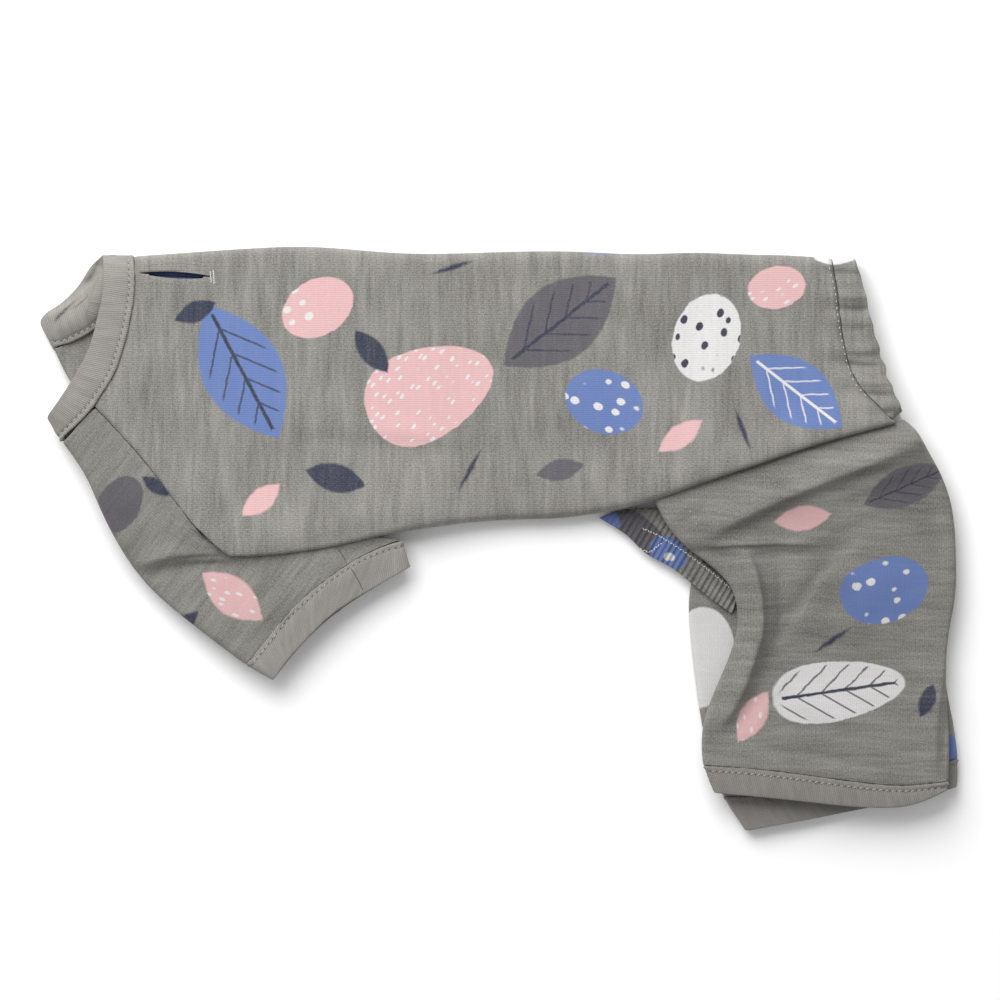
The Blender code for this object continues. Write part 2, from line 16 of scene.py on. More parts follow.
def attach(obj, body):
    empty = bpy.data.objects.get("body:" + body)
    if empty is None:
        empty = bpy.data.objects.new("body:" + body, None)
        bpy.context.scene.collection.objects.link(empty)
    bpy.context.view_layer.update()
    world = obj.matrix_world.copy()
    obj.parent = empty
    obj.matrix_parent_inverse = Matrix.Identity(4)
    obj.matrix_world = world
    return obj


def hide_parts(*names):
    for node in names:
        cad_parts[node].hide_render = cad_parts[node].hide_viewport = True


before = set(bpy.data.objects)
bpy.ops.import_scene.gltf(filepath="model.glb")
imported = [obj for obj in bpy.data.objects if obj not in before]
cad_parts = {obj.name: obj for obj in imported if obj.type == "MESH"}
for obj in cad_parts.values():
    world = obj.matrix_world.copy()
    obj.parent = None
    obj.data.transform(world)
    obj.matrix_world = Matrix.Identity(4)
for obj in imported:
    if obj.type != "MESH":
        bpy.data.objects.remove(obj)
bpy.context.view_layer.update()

MM = 0.001
scene = bpy.context.scene
print("nodes", sorted(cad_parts))

# %% [markdown]
# ## Camera, floor and light
# The suit is seen from straight above. A long lens far away keeps the outline true, with hardly
# any perspective. The light is one large soft box above the back of the suit and a bright room
# all round, so shadows are faint and lie below the belly and under the cuffs.

# %% Camera
VIEW_WIDE = 0.450  # metres of table across the picture
LENS = 180.0
SENSOR = 36.0
VIEW_MIDDLE = (0.0009, 0.0173)
SUIT_TOP = 0.007  # the height at which the picture is VIEW_WIDE across
camera_data = bpy.data.cameras.new("camera")
camera_data.lens = LENS
camera_data.sensor_width = SENSOR
camera = bpy.data.objects.new("camera", camera_data)
scene.collection.objects.link(camera)
camera.location = (*VIEW_MIDDLE, SUIT_TOP + VIEW_WIDE * LENS / SENSOR)
print("camera height in m", round(camera.location.z, 3))
camera_data.clip_end = 50.0
scene.camera = camera

# %% Lights
ROOM_LIGHT = 0.52
WHITE = (1.0, 1.0, 1.0, 1.0)
world = bpy.data.worlds.new("room")
world.use_nodes = True
world.node_tree.nodes["Background"].inputs["Color"].default_value = WHITE
world.node_tree.nodes["Background"].inputs["Strength"].default_value = ROOM_LIGHT
scene.world = world


def soft_box(name, place, turn, wide, watts):
    lamp = bpy.data.lights.new(name, "AREA")
    lamp.shape = "SQUARE"
    lamp.size = wide
    lamp.energy = watts
    holder = bpy.data.objects.new(name, lamp)
    holder.location = place
    holder.rotation_euler = [math.radians(a) for a in turn]
    scene.collection.objects.link(holder)


soft_box("back_light", (-0.42, 0.95, 1.02), (-43.0, 0.0, 24.0), 1.3, 29.0)
scene.view_settings.view_transform = "Standard"
print("lights", [light.name for light in bpy.data.lights])


# %% [markdown]
# ## Shader tools
# A cloth material is mostly small sums: is this point inside that leaf, how far is it from a rib.
# Wrapping a socket in a class with the usual operators lets those sums be written as they are
# thought, and each operator adds the Math node for it.

# %% A socket that can be added and multiplied
class Wire:
    def __init__(self, board, socket):
        self.board, self.socket = board, socket

    def maths(self, operation, *others, clamp=False):
        settings = {"operation": operation, "use_clamp": clamp}
        return self.board.node("ShaderNodeMath", settings, (self, *others))

    def __add__(self, other):
        return self.maths("ADD", other)

    def __radd__(self, other):
        return self.maths("ADD", other)

    def __sub__(self, other):
        return self.maths("SUBTRACT", other)

    def __rsub__(self, other):
        return self.board.wire(other).maths("SUBTRACT", self)

    def __mul__(self, other):
        return self.maths("MULTIPLY", other)

    def __rmul__(self, other):
        return self.maths("MULTIPLY", other)

    def __truediv__(self, other):
        return self.maths("DIVIDE", other)

    def size(self):
        return self.maths("ABSOLUTE")

    def sine(self):
        return self.maths("SINE")

    def larger(self, other):
        return self.maths("MAXIMUM", other)

    def held(self):
        """Held between 0 and 1."""
        return self.maths("ADD", 0.0, clamp=True)

    def over(self, edge, soft):
        """0 below the edge, 1 above it, with a soft step between."""
        return ((self - edge) / soft + 0.5).held()


# %% The node tree of one material
class Board:
    """The node tree of one material."""

    def __init__(self, name):
        self.material = bpy.data.materials.new(name)
        self.material.use_nodes = True
        self.tree = self.material.node_tree
        self.shader = self.tree.nodes["Principled BSDF"]

    def node(self, kind, settings=None, inputs=(), output=0):
        made = self.tree.nodes.new(kind)
        for key, value in (settings or {}).items():
            setattr(made, key, value)
        pairs = inputs.items() if isinstance(inputs, dict) else enumerate(inputs)
        for key, value in pairs:
            self.join(value, made.inputs[key])
        return Wire(self, made.outputs[output])

    def join(self, value, socket):
        if isinstance(value, Wire):
            self.tree.links.new(value.socket, socket)
        else:
            socket.default_value = value

    def wire(self, value):
        return self.node("ShaderNodeMath", {"operation": "ADD"}, (value, 0.0))

    def parts(self, vector):
        made = self.tree.nodes.new("ShaderNodeSeparateXYZ")
        self.join(vector, made.inputs[0])
        return [Wire(self, made.outputs[k]) for k in range(3)]

    def mix(self, amount, first, second, blend="MIX"):
        settings = {"data_type": "RGBA", "blend_type": blend}
        return self.node("ShaderNodeMix", settings, {0: amount, 6: first, 7: second}, 2)

    def noise(self, vector, scale, detail=2.0, rough=0.5):
        values = {"Vector": vector, "Scale": scale, "Detail": detail, "Roughness": rough}
        return self.node("ShaderNodeTexNoise", None, values)

    def stretched(self, vector, scale, turn=0.0, centre=(0.0, 0.0)):
        settings = {"vector_type": "TEXTURE"}
        values = {
            "Vector": vector, "Location": (*centre, 0.0),
            "Rotation": (0.0, 0.0, math.radians(turn)), "Scale": scale,
        }
        return self.node("ShaderNodeMapping", settings, values)

    def cloth_map(self):
        return self.node("ShaderNodeUVMap", {"uv_map": "cloth"})

    def finish(self, color, rough, bump, depth, distance=MM):
        self.join(color, self.shader.inputs["Base Color"])
        self.join(rough, self.shader.inputs["Roughness"])
        values = {"Height": bump, "Strength": depth, "Distance": distance}
        self.join(self.node("ShaderNodeBump", None, values), self.shader.inputs["Normal"])
        self.shader.inputs["Specular IOR Level"].default_value = 0.18
        self.shader.inputs["Sheen Weight"].default_value = 0.12
        self.shader.inputs["Sheen Roughness"].default_value = 0.6
        print(self.material.name, len(self.tree.nodes), "nodes")
        return self.material


# %% [markdown]
# ## Colours
# Heathered yarn is spun from pale and dark fibres, so the cloth is a warm grey with a fine fleck.
# The print uses blue, navy, pink, charcoal and white.

# %% Colours of the cloth and the print
def linear(red, green, blue):
    """A colour as read on screen, 0 to 255, as the shader wants it."""
    steps = [c / 255 for c in (red, green, blue)]
    return (*[((c + 0.055) / 1.055) ** 2.4 if c > 0.04045 else c / 12.92 for c in steps], 1.0)


GREY_DARK = linear(84, 82, 78)
GREY_LIGHT = linear(154, 152, 146)
RIB_DARK = linear(108, 106, 101)
RIB_LIGHT = linear(160, 157, 152)
# the inner skin: plain unprinted heather, painted darker as painted shade inside the suit
INSIDE_SHADED_DARK = linear(66, 64, 61)
INSIDE_SHADED_LIGHT = linear(116, 113, 108)
INKS = {
    "blue": linear(92, 116, 172),
    "navy": linear(38, 44, 66),
    "pink": linear(214, 172, 173),
    "charcoal": linear(86, 83, 90),
    "white": linear(214, 212, 212),
}


# %% [markdown]
# ## The print
# The print is scattered leaves and pebbles. Each motif is one row of a table: its shape, where
# its middle lies on the cloth in millimetres, half its length and width, how far it is turned,
# its ink and what is drawn over it. A Mapping node turns the cloth's own map into the motif's
# map, where the shape is a short formula, so the print follows the cloth round its folds.

# %% One motif
def pebbles(board, where, stretch, turn, spacing, radius):
    """Scattered small marks: 1 inside a mark, 0 outside."""
    sown = board.stretched(where, (stretch, 1.0, 1.0), turn)
    values = {"Vector": sown, "Scale": 1.0 / (spacing * MM), "Randomness": 0.4}
    return (radius - board.node("ShaderNodeTexVoronoi", {"feature": "F1"}, values)).over(0.0, 0.06)


def motif(board, where, color, row):
    shape, x, y, long, wide, turn, ink, over, over_ink = row
    local = board.stretched(where, (long * MM, wide * MM, 1.0), turn, (x * MM, y * MM))
    across, up, _ = board.parts(local)
    if shape == "leaf":
        edge = across * across + up.size()
    elif shape == "egg":
        edge = across * across + up * up * (1.3 + across * 0.6).larger(0.4)
    else:
        edge = across * across + up * up
    inside = (1.0 - edge).over(0.0, 1.2 / wide)
    color = board.mix(inside, color, INKS[ink])
    if over == "dots":
        marks = pebbles(board, where, 1.3, turn, 6.4, 0.26) * inside
    elif over == "dashes":
        marks = pebbles(board, where, 2.0, turn + 25.0, 3.2, 0.22) * inside
    elif over == "veins":
        rib_line = (0.045 - up.size()).over(0.0, 0.03) * (0.86 - across.size()).over(0.0, 0.02)
        side_line = ((across * 17.0 - up.size() * 11.0).sine() - 0.93).over(0.0, 0.08)
        marks = rib_line.larger(side_line * 0.8) * (0.8 - edge).over(0.0, 0.1)
    else:
        return color
    return board.mix(marks, color, INKS[over_ink])


# %% Jersey: fleck, knit rows, slub streaks, the print and painted shade
KNIT_ROW = 0.98  # mm from one row of loops to the next
RIB_PITCH = 0.88  # mm from one ridge of the rib to the next
YARN_DEPTH = 0.35  # mm


def jersey(name, rows, grain=0.0, painted_shade_factor=1.0):
    board = Board(name)
    where = board.cloth_map()
    wobble = board.noise(where, 260.0, 2.0)
    shaken = ((wobble - 0.5) * 1.4 * MM, (0.5 - wobble) * 1.1 * MM, 0.0)
    shake = board.node("ShaderNodeCombineXYZ", None, shaken)
    printed = board.node("ShaderNodeVectorMath", {"operation": "ADD"}, (where, shake))
    turned = board.stretched(where, (1.0, 1.0, 1.0), grain)
    fleck = board.noise(board.stretched(turned, (1.0, 1.7, 1.0)), 1900.0, 2.0, 0.8)
    slub = board.noise(board.stretched(turned, (1.0, 11.0, 1.0)), 560.0, 3.0, 0.65)
    streak = board.noise(board.stretched(turned, (1.0, 6.0, 1.0)), 150.0, 2.0, 0.5)
    cloud = board.noise(turned, 26.0, 2.0)
    _, up, _ = board.parts(turned)
    rows_of_knit = (up * (2 * math.pi / (KNIT_ROW * MM)) + streak * 3.0).sine()
    heather = (
        0.5 + (fleck - 0.5) * 1.6 + (slub - 0.5) * 0.8 + (streak - 0.5) * 0.6 + (cloud - 0.5) * 0.45
        + rows_of_knit * 0.065
    ).held()
    cloth = board.mix(heather, GREY_DARK, GREY_LIGHT)
    color = cloth
    for row in rows:
        color = motif(board, printed, color, row)
    color = board.mix(((fleck - 0.5) * 0.7 + (slub - 0.5) * 0.3 + 0.13).held(), color, cloth)
    # the skin that looks into the suit shows no print, and is painted darker as painted shade inside the
    # suit
    inner = board.node("ShaderNodeAttribute", {"attribute_name": "inner"}, (), 2)
    color = board.mix(inner, color, board.mix(heather, INSIDE_SHADED_DARK, INSIDE_SHADED_LIGHT))
    # painted shade: a piece that looks darker in this light gets the whole cloth multiplied by this
    # factor
    if painted_shade_factor != 1.0:
        color = board.mix(1.0, color, (painted_shade_factor, painted_shade_factor, painted_shade_factor, 1.0), "MULTIPLY")
    bump = fleck * 0.5 + rows_of_knit * 0.2 + slub * 0.4
    return board.finish(color, 0.92, bump, 0.4, YARN_DEPTH * MM)


# %% Rib knit: ridges that run across the band
def rib(name, painted_shade_factor=1.0):
    board = Board(name)
    where = board.cloth_map()
    across, _, _ = board.parts(where)
    uneven = board.noise(board.stretched(where, (1.0, 6.0, 1.0)), 900.0, 2.0)
    ridge = (across * (2 * math.pi / (RIB_PITCH * MM)) + uneven * 1.6).sine() * 0.5 + 0.5
    fleck = board.noise(where, 2000.0, 2.0, 0.8)
    slub = board.noise(board.stretched(where, (1.0, 5.0, 1.0)), 330.0, 2.0)
    # painted shade and light: the grooves between the ridges are painted darker and the ridges lighter,
    # on top of the fleck and slub
    amount = (0.31 + ridge * 0.32 + (fleck - 0.5) * 1.1 + (slub - 0.5) * 0.6).held()
    color = board.mix(amount, RIB_DARK, RIB_LIGHT)
    # painted shade: the skin that looks into the suit is darkened
    inner = board.node("ShaderNodeAttribute", {"attribute_name": "inner"}, (), 2)
    color = board.mix(inner * 0.45, color, INSIDE_SHADED_DARK)
    # painted shade: the whole rib multiplied darker, for a band that looks darker in this light
    if painted_shade_factor != 1.0:
        color = board.mix(1.0, color, (painted_shade_factor, painted_shade_factor, painted_shade_factor, 1.0), "MULTIPLY")
    return board.finish(color, 0.92, ridge + fleck * 0.4, 0.45, YARN_DEPTH * MM)


# %% [markdown]
# ## From solid to cloth
# Each solid piece is a closed shell of flat triangles. Its copy is merged, turned back into
# four-sided faces and subdivided, which rounds the folds and the cut edges at once. The finer
# mesh then takes small folds that the solid leaves out.

# %% Selecting
def deselect():
    if bpy.context.mode != "OBJECT":
        bpy.ops.object.mode_set(mode="OBJECT")
    bpy.ops.object.select_all(action="DESELECT")


def sharp_edges(piece, angle):
    """Selects the cut edges of the cloth, and leaves the piece in edit mode."""
    bpy.context.view_layer.objects.active = piece
    bpy.ops.object.mode_set(mode="EDIT")
    bpy.ops.mesh.select_mode(type="EDGE")
    bpy.ops.mesh.select_all(action="DESELECT")
    bpy.ops.mesh.edges_select_sharp(sharpness=math.radians(angle))


# %% Copy and smooth one piece
def soft_copy(node, levels, relax):
    """The cloth of one node: merged, subdivided, and relaxed except at its cut edges."""
    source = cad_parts[node]
    piece = bpy.data.objects.new(node + "_cloth", source.data.copy())
    piece.data.materials.clear()
    scene.collection.objects.link(piece)
    deselect()
    piece.select_set(True)
    bpy.context.view_layer.objects.active = piece
    bpy.ops.object.mode_set(mode="EDIT")
    bpy.ops.mesh.select_all(action="SELECT")
    bpy.ops.mesh.remove_doubles(threshold=1e-6)
    bpy.ops.mesh.tris_convert_to_quads(face_threshold=math.radians(60), shape_threshold=math.radians(60))
    sharp_edges(piece, 62)
    bpy.ops.transform.edge_crease(value=0.85)
    bpy.ops.object.mode_set(mode="OBJECT")
    finer = piece.modifiers.new("finer", "SUBSURF")
    finer.levels = finer.render_levels = levels
    bpy.ops.object.modifier_apply(modifier=finer.name)
    sharp_edges(piece, 40)
    bpy.ops.object.mode_set(mode="OBJECT")
    rim = piece.vertex_groups.new(name="rim")
    rim.add([vertex.index for vertex in piece.data.vertices if vertex.select], 1.0, "REPLACE")
    calm = piece.modifiers.new("calm", "SMOOTH")
    calm.factor = 0.5
    calm.iterations = relax
    calm.vertex_group = "rim"
    calm.invert_vertex_group = True
    bpy.ops.object.modifier_apply(modifier=calm.name)
    piece.vertex_groups.clear()
    bpy.ops.object.shade_smooth()
    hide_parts(node)
    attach(piece, "root")
    print(piece.name, len(piece.data.polygons), "faces")
    return piece


# %% A mesh's points as rows of numbers
def points_of(piece):
    flat = np.empty(len(piece.data.vertices) * 3)
    piece.data.vertices.foreach_get("co", flat)
    return flat.reshape(-1, 3)


def set_points(piece, points):
    piece.data.vertices.foreach_set("co", points.ravel())
    piece.data.update()


# %% [markdown]
# The solid pieces keep a hair's gap between them. Sewn cloth touches, and the seam between two
# pieces is a fine groove that the stitches pull in unevenly. So each point near a neighbour is
# drawn most of the way to it, and sinks a little.

# %% Close the seams
FULL_PULL = 0.7  # mm from the neighbour at which a point is drawn in fully
PUCKERS = 420  # how closely the uneven pull follows itself along a seam, per metre


def close_seams(piece, neighbours, share=0.6, reach=1.9, sink=0.3):
    points = points_of(piece)
    normals = [vertex.normal.copy() for vertex in piece.data.vertices]
    for name in neighbours:
        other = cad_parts[name]
        corners = [vertex.co.copy() for vertex in other.data.vertices]
        tree = BVHTree.FromPolygons(corners, [tuple(face.vertices) for face in other.data.polygons])
        for k, point in enumerate(points):
            spot, _, _, away = tree.find_nearest(Vector(point), reach * MM)
            if spot is None:
                continue
            closeness = min(1.0, (reach - away / MM) / (reach - FULL_PULL))
            pull = 0.65 + 0.7 * noise.noise(Vector((point[0] * PUCKERS, point[1] * PUCKERS, 3.0)))
            points[k] += (np.array(spot) - point) * share * closeness
            points[k] -= np.array(normals[k]) * sink * pull * MM * closeness**2
    set_points(piece, points)


# %% [markdown]
# A small fold is a curve that starts and ends at two places on the table and bends towards a
# third. It has a height at both ends and a reach to its left and to its right, so that a crease
# can be sharp on one side and soft on the other. Points near the curve rise or sink. The far
# side of the suit is held still by how low it lies.

# %% Small folds
def ease(t):
    t = np.clip(t, 0.0, 1.0)
    return t * t * (3 - 2 * t)


def fold_heights(points, folds, lean):
    """How far the folds raise each point, and how far a lopsided fold leans over its steep side."""
    total = np.zeros(len(points))
    pushed = np.zeros((len(points), 2))
    t = np.linspace(0, 1, 81)[:, None]
    for x0, y0, xm, ym, x1, y1, rise0, rise1, half_left, half_right in folds:
        start, bend, end = np.array([[[x0, y0]], [[xm, ym]], [[x1, y1]]])
        line = (start * (1 - t) ** 2 + bend * 2 * t * (1 - t) + end * t**2) * MM
        way = np.gradient(line, axis=0)
        away_x = points[:, None, 0] - line[None, :, 0]
        away_y = points[:, None, 1] - line[None, :, 1]
        reach = np.hypot(away_x, away_y)
        nearest = reach.argmin(axis=1)
        rows = np.arange(len(points))
        close = reach[rows, nearest]
        side = way[nearest, 0] * away_y[rows, nearest] - way[nearest, 1] * away_x[rows, nearest]
        half = np.where(side > 0, half_left, half_right) * MM
        share = t[nearest, 0]
        fade = ease(share / 0.25) * ease((1 - share) / 0.25)
        height = (rise0 + (rise1 - rise0) * share) * np.exp(-((close / half) ** 2)) * (0.15 + 0.85 * fade)
        total += height
        steep = (half_right - half_left) / (half_right + half_left)
        sideways = np.stack([-way[nearest, 1], way[nearest, 0]], axis=1)
        sideways /= np.maximum(np.linalg.norm(sideways, axis=1, keepdims=True), 1e-9)
        pushed += sideways * (np.maximum(height, 0.0) * steep * lean)[:, None]
    return total * MM, pushed * MM


# %% Share a push with the neighbours
def spread(piece, values, rounds):
    """Each point's values averaged with those of the points it shares an edge with."""
    ends = np.empty(len(piece.data.edges) * 2, int)
    piece.data.edges.foreach_get("vertices", ends)
    first, second = ends.reshape(-1, 2).T
    count = 1.0 + np.bincount(ends, minlength=len(values))
    for _ in range(rounds):
        total = values.copy()
        np.add.at(total, first, values[second])
        np.add.at(total, second, values[first])
        values = total / count[:, None]
    return values


# %% Drape one piece
SKIN_ROOM = 0.55  # mm left between the cloth's two skins at the bottom of a hollow
SOFT_WAVES, FINE_WAVES = 50, 150  # how closely the unevenness follows itself, per metre


def drape(piece, folds, from_height, over, rumple, grain=(1.0, 1.0), seed=0.0, lean=0.0, rounds=0):
    """Adds the folds and a little unevenness to the side of a piece that lies above from_height."""
    points = points_of(piece)
    weight = ease((points[:, 2] - from_height * MM) / (over * MM))
    lift, pushed = fold_heights(points, folds, lean)
    moved = spread(piece, np.column_stack([lift, pushed]), rounds)
    lift, pushed = moved[:, 0], moved[:, 1:]
    for k, point in enumerate(points):
        if weight[k] > 0.0:
            x, y = point[:2]
            soft = noise.noise(Vector((x * SOFT_WAVES * grain[0], y * SOFT_WAVES * grain[1], seed)))
            fine = noise.noise(Vector((x * FINE_WAVES * grain[0], y * FINE_WAVES * grain[1], seed + 5)))
            lift[k] += (soft * 0.75 + fine * 0.25) * rumple * MM * 2
    # a hollow stops at the cloth below it, and its outer skin stops above the inner one
    outer = np.array([vertex.normal.z > 0.0 for vertex in piece.data.vertices])
    lowest = np.minimum(points[:, 2], (from_height + SKIN_ROOM * outer) * MM)
    points[:, 2] = np.maximum(points[:, 2] + lift * weight, lowest)
    points[:, :2] += pushed * weight[:, None]
    set_points(piece, points)


# %% [markdown]
# The cloth's own map is its plan, with each folded edge rolled out flat: a point that has turned
# by some angle round an edge is moved outwards by the length of the arc less its shadow. The
# print then keeps its size round the fold. The underside gets the plan mirrored. The same step
# marks which skin looks into the suit, because a print shows on one side of the cloth only, and
# that skin is painted darker, as painted shade inside the suit.

# %% The cloth's map, and its inner skin
def map_cloth(piece, radius=3.5, shift=(0.0, 0.0), inner_reach=24.0, middle=0.0, top=99.0):
    mesh = piece.data
    tree = BVHTree.FromObject(piece, bpy.context.evaluated_depsgraph_get())
    inner = mesh.attributes.new("inner", "FLOAT", "POINT")
    normals = [vertex.normal.copy() for vertex in mesh.vertices]
    values = []
    for vertex, normal in zip(mesh.vertices, normals):
        hit = tree.ray_cast(vertex.co + normal * 0.25 * MM, normal, inner_reach * MM)
        enclosed = hit[0] is not None and hit[1].dot(normal) < -0.2
        lower_skin = normal.z > 0.3 and vertex.co.z < middle * MM
        upper_skin = normal.z > 0.0 and vertex.co.z > top * MM
        values.append(1.0 if (enclosed or lower_skin) and not upper_skin else 0.0)
    inner.data.foreach_set("value", values)
    layer = mesh.uv_layers.new(name="cloth")
    for face in mesh.polygons:
        up = face.normal.z > -0.25
        for loop in face.loop_indices:
            vertex = mesh.loops[loop].vertex_index
            place, normal = mesh.vertices[vertex].co, normals[vertex]
            if up:
                level = math.hypot(normal.x, normal.y)
                angle = math.acos(max(-1.0, min(1.0, normal.z)))
                roll = radius * MM * (angle - math.sin(angle)) / max(level, 0.05)
                spot = (place.x + normal.x * roll, place.y + normal.y * roll)
            else:
                spot = (place.x, 0.6 - place.y)
            layer.data[loop].uv = (spot[0] + shift[0], spot[1] + shift[1])


# %% [markdown]
# A rib band is a strip with its own length and width, so its map runs along the strip. The
# strip is given by matching places on its sewn edge and its free edge. Each point of the mesh
# finds the nearest cross line between them, and its place on that line.

# %% A smooth curve through a table
def smooth_curve(rows, count, closed=False):
    """Points in metres along a smooth line through the rows, which are in millimetres."""
    rows = np.array(rows, float)
    last = len(rows) if closed else len(rows) - 1
    line = []
    for k in range(count + (0 if closed else 1)):
        at = k / count * last
        j = min(int(at), last - 1)
        f = at - j
        around = np.arange(j - 1, j + 3)
        around = around % len(rows) if closed else np.clip(around, 0, last)
        a, b, c, d = rows[around]
        bend = (2 * a - 5 * b + 4 * c - d) * f**2 + (3 * b - a - 3 * c + d) * f**3
        line.append(0.5 * (2 * b + (c - a) * f + bend))
    return np.array(line) * MM


# %% Places on a strip
def strip_places(points, seam, edge, flat):
    """For each point: how far along the strip and how far across it, in metres."""
    size = 2 if flat else 3
    middle = (seam + edge) / 2
    run = np.concatenate([[0.0], np.cumsum(np.linalg.norm(np.diff(middle, axis=0), axis=1))])
    start, way = seam[:, :size], (edge - seam)[:, :size]
    wide = np.maximum((way**2).sum(axis=1), 1e-9)
    away = points[:, None, :size] - start[None]
    share = np.clip((away * way[None]).sum(axis=2) / wide[None], 0.0, 1.0)
    miss = ((away - share[..., None] * way[None]) ** 2).sum(axis=2)
    near = miss.argmin(axis=1)
    share = share[np.arange(len(points)), near]
    tangent = np.gradient(middle[:, :2], axis=0)
    tangent /= np.maximum(np.linalg.norm(tangent, axis=1, keepdims=True), 1e-9)
    cross = seam[near] + (edge - seam)[near] * share[:, None]
    nudge = ((points[:, :2] - cross[:, :2]) * tangent[near]).sum(axis=1)
    return run[near] + nudge, share * np.sqrt(wide[near])


# %% A band's map
def map_band(piece, seam, edge, flat=True):
    points = points_of(piece)
    run, across = strip_places(points, seam, edge, flat)
    mesh = piece.data
    layer = mesh.uv_layers.new(name="cloth")
    for loop in mesh.loops:
        layer.data[loop.index].uv = (run[loop.vertex_index], across[loop.vertex_index])
    inner = mesh.attributes.new("inner", "FLOAT", "POINT")
    inner.data.foreach_set("value", np.zeros(len(points)))
    return run, across


# %% A band's rolled seam
ROLL = (0.5, 0.9, 0.7)  # height, place across the band and reach, in mm
GROOVE = (-0.42, 2.5, 0.55)


def ridge_across(across, shape):
    height, place, reach = shape
    return height * np.exp(-(((across - place) / reach) ** 2))


def roll_seam(piece, across, above):
    """The sewn edge of a band: a raised roll of seam allowance, and a groove where the stitches pull."""
    points = points_of(piece)
    normals = np.array([vertex.normal[:] for vertex in piece.data.vertices])
    across = across / MM
    roll = ridge_across(across, ROLL) + ridge_across(across, GROOVE)
    crown = 0.15 * np.sin(np.clip((across - 3.0) / 9.6, 0, 1) * math.pi)
    up = (normals[:, 2] > -0.2) & (points[:, 2] > above * MM)
    points += normals * ((roll + crown) * up)[:, None] * MM
    set_points(piece, points)


# %% [markdown]
# ## The neck band
# A strip of rib folded double and sewn round the neck hole. The table has the place of its sewn
# edge and its free edge in millimetres, from the back fold round the near half, under the chest
# and back along the far half.

# %% The neck band's two edges
NECK = (
    # sewn_x, sewn_y, sewn_z, free_x, free_y, free_z
    (-164.2, 126.5, 6.0, -178.7, 126.5, 6.0),
    (-163.3, 119.9, 11.2, -177.8, 119.5, 11.2),
    (-163.3, 110.9, 11.6, -178.2, 108.7, 11.6),
    (-165.2, 98.3, 11.8, -180.5, 99.2, 11.8),
    (-168.3, 85.7, 11.9, -183.2, 88.0, 11.9),
    (-172.8, 73.1, 12.1, -188.1, 76.7, 12.0),
    (-181.8, 59.0, 12.2, -195.3, 65.5, 12.1),
    (-189.5, 50.6, 11.8, -199.8, 58.7, 11.8),
    (-196.7, 43.0, 7.4, -203.0, 53.8, 7.4),
    (-186.3, 44.3, 3.0, -190.8, 56.5, 3.0),
    (-175.5, 47.0, 3.0, -178.7, 59.6, 3.0),
    (-171.0, 51.5, 1.9, -173.7, 63.7, 1.9),
    (-177.3, 57.4, 0.8, -177.3, 69.5, 0.8),
    (-189.0, 69.1, 0.8, -189.9, 82.1, 0.8),
    (-200.5, 84.8, 2.9, -207.0, 97.2, 2.9),
    (-194.4, 86.9, 6.5, -198.5, 104.2, 4.3),
    (-181.8, 93.4, 6.5, -189.9, 112.3, 4.3),
    (-172.3, 104.6, 6.5, -184.5, 121.0, 4.3),
    (-166.5, 117.7, 6.5, -180.9, 124.9, 4.8),
)
print("neck band", len(NECK), "rows")

# %% Make the neck band
ROW_STEPS = 20
NECK_STEPS = ROW_STEPS * len(NECK)
neck_sewn = smooth_curve([row[:3] for row in NECK], NECK_STEPS, closed=True)
neck_free = smooth_curve([row[3:] for row in NECK], NECK_STEPS, closed=True)
neck = soft_copy("neck_band", 3, 2)
_, neck_across = map_band(neck, neck_sewn, neck_free, flat=False)
close_seams(neck, ["body", "sleeve_near"], 0.5)
roll_seam(neck, neck_across, 4.0)
FAR_NECK_FOLDS = (
    # x0, y0, xm, ym, x1, y1, rise0, rise1, half_left, half_right
    (-207.9, 98.3, -190.3, 103.7, -176.4, 114.5, 2.0, 1.8, 1.2, 3.6),
    (-203.4, 102.8, -190.3, 109.1, -178.2, 119.9, -1.4, -1.6, 2.6, 1.4),
    (-187.2, 113.6, -180.5, 116.3, -178.7, 127.1, -1.6, -3.0, 2.0, 3.0),
)
points = points_of(neck)
low_part = (points[:, 2] > 3.0 * MM) & (points[:, 2] < 8.2 * MM)
points[:, 2] += fold_heights(points, FAR_NECK_FOLDS, 0.0)[0] * low_part
set_points(neck, points)
rib_knit = rib("rib_knit")
neck.data.materials.append(rib_knit)

# %% [markdown]
# ## Body
# One tube of printed jersey. The near side shows a long soft fold above the belly, faint
# hollows where it hangs between the neck and the sleeve, and a slack edge over the limbs.

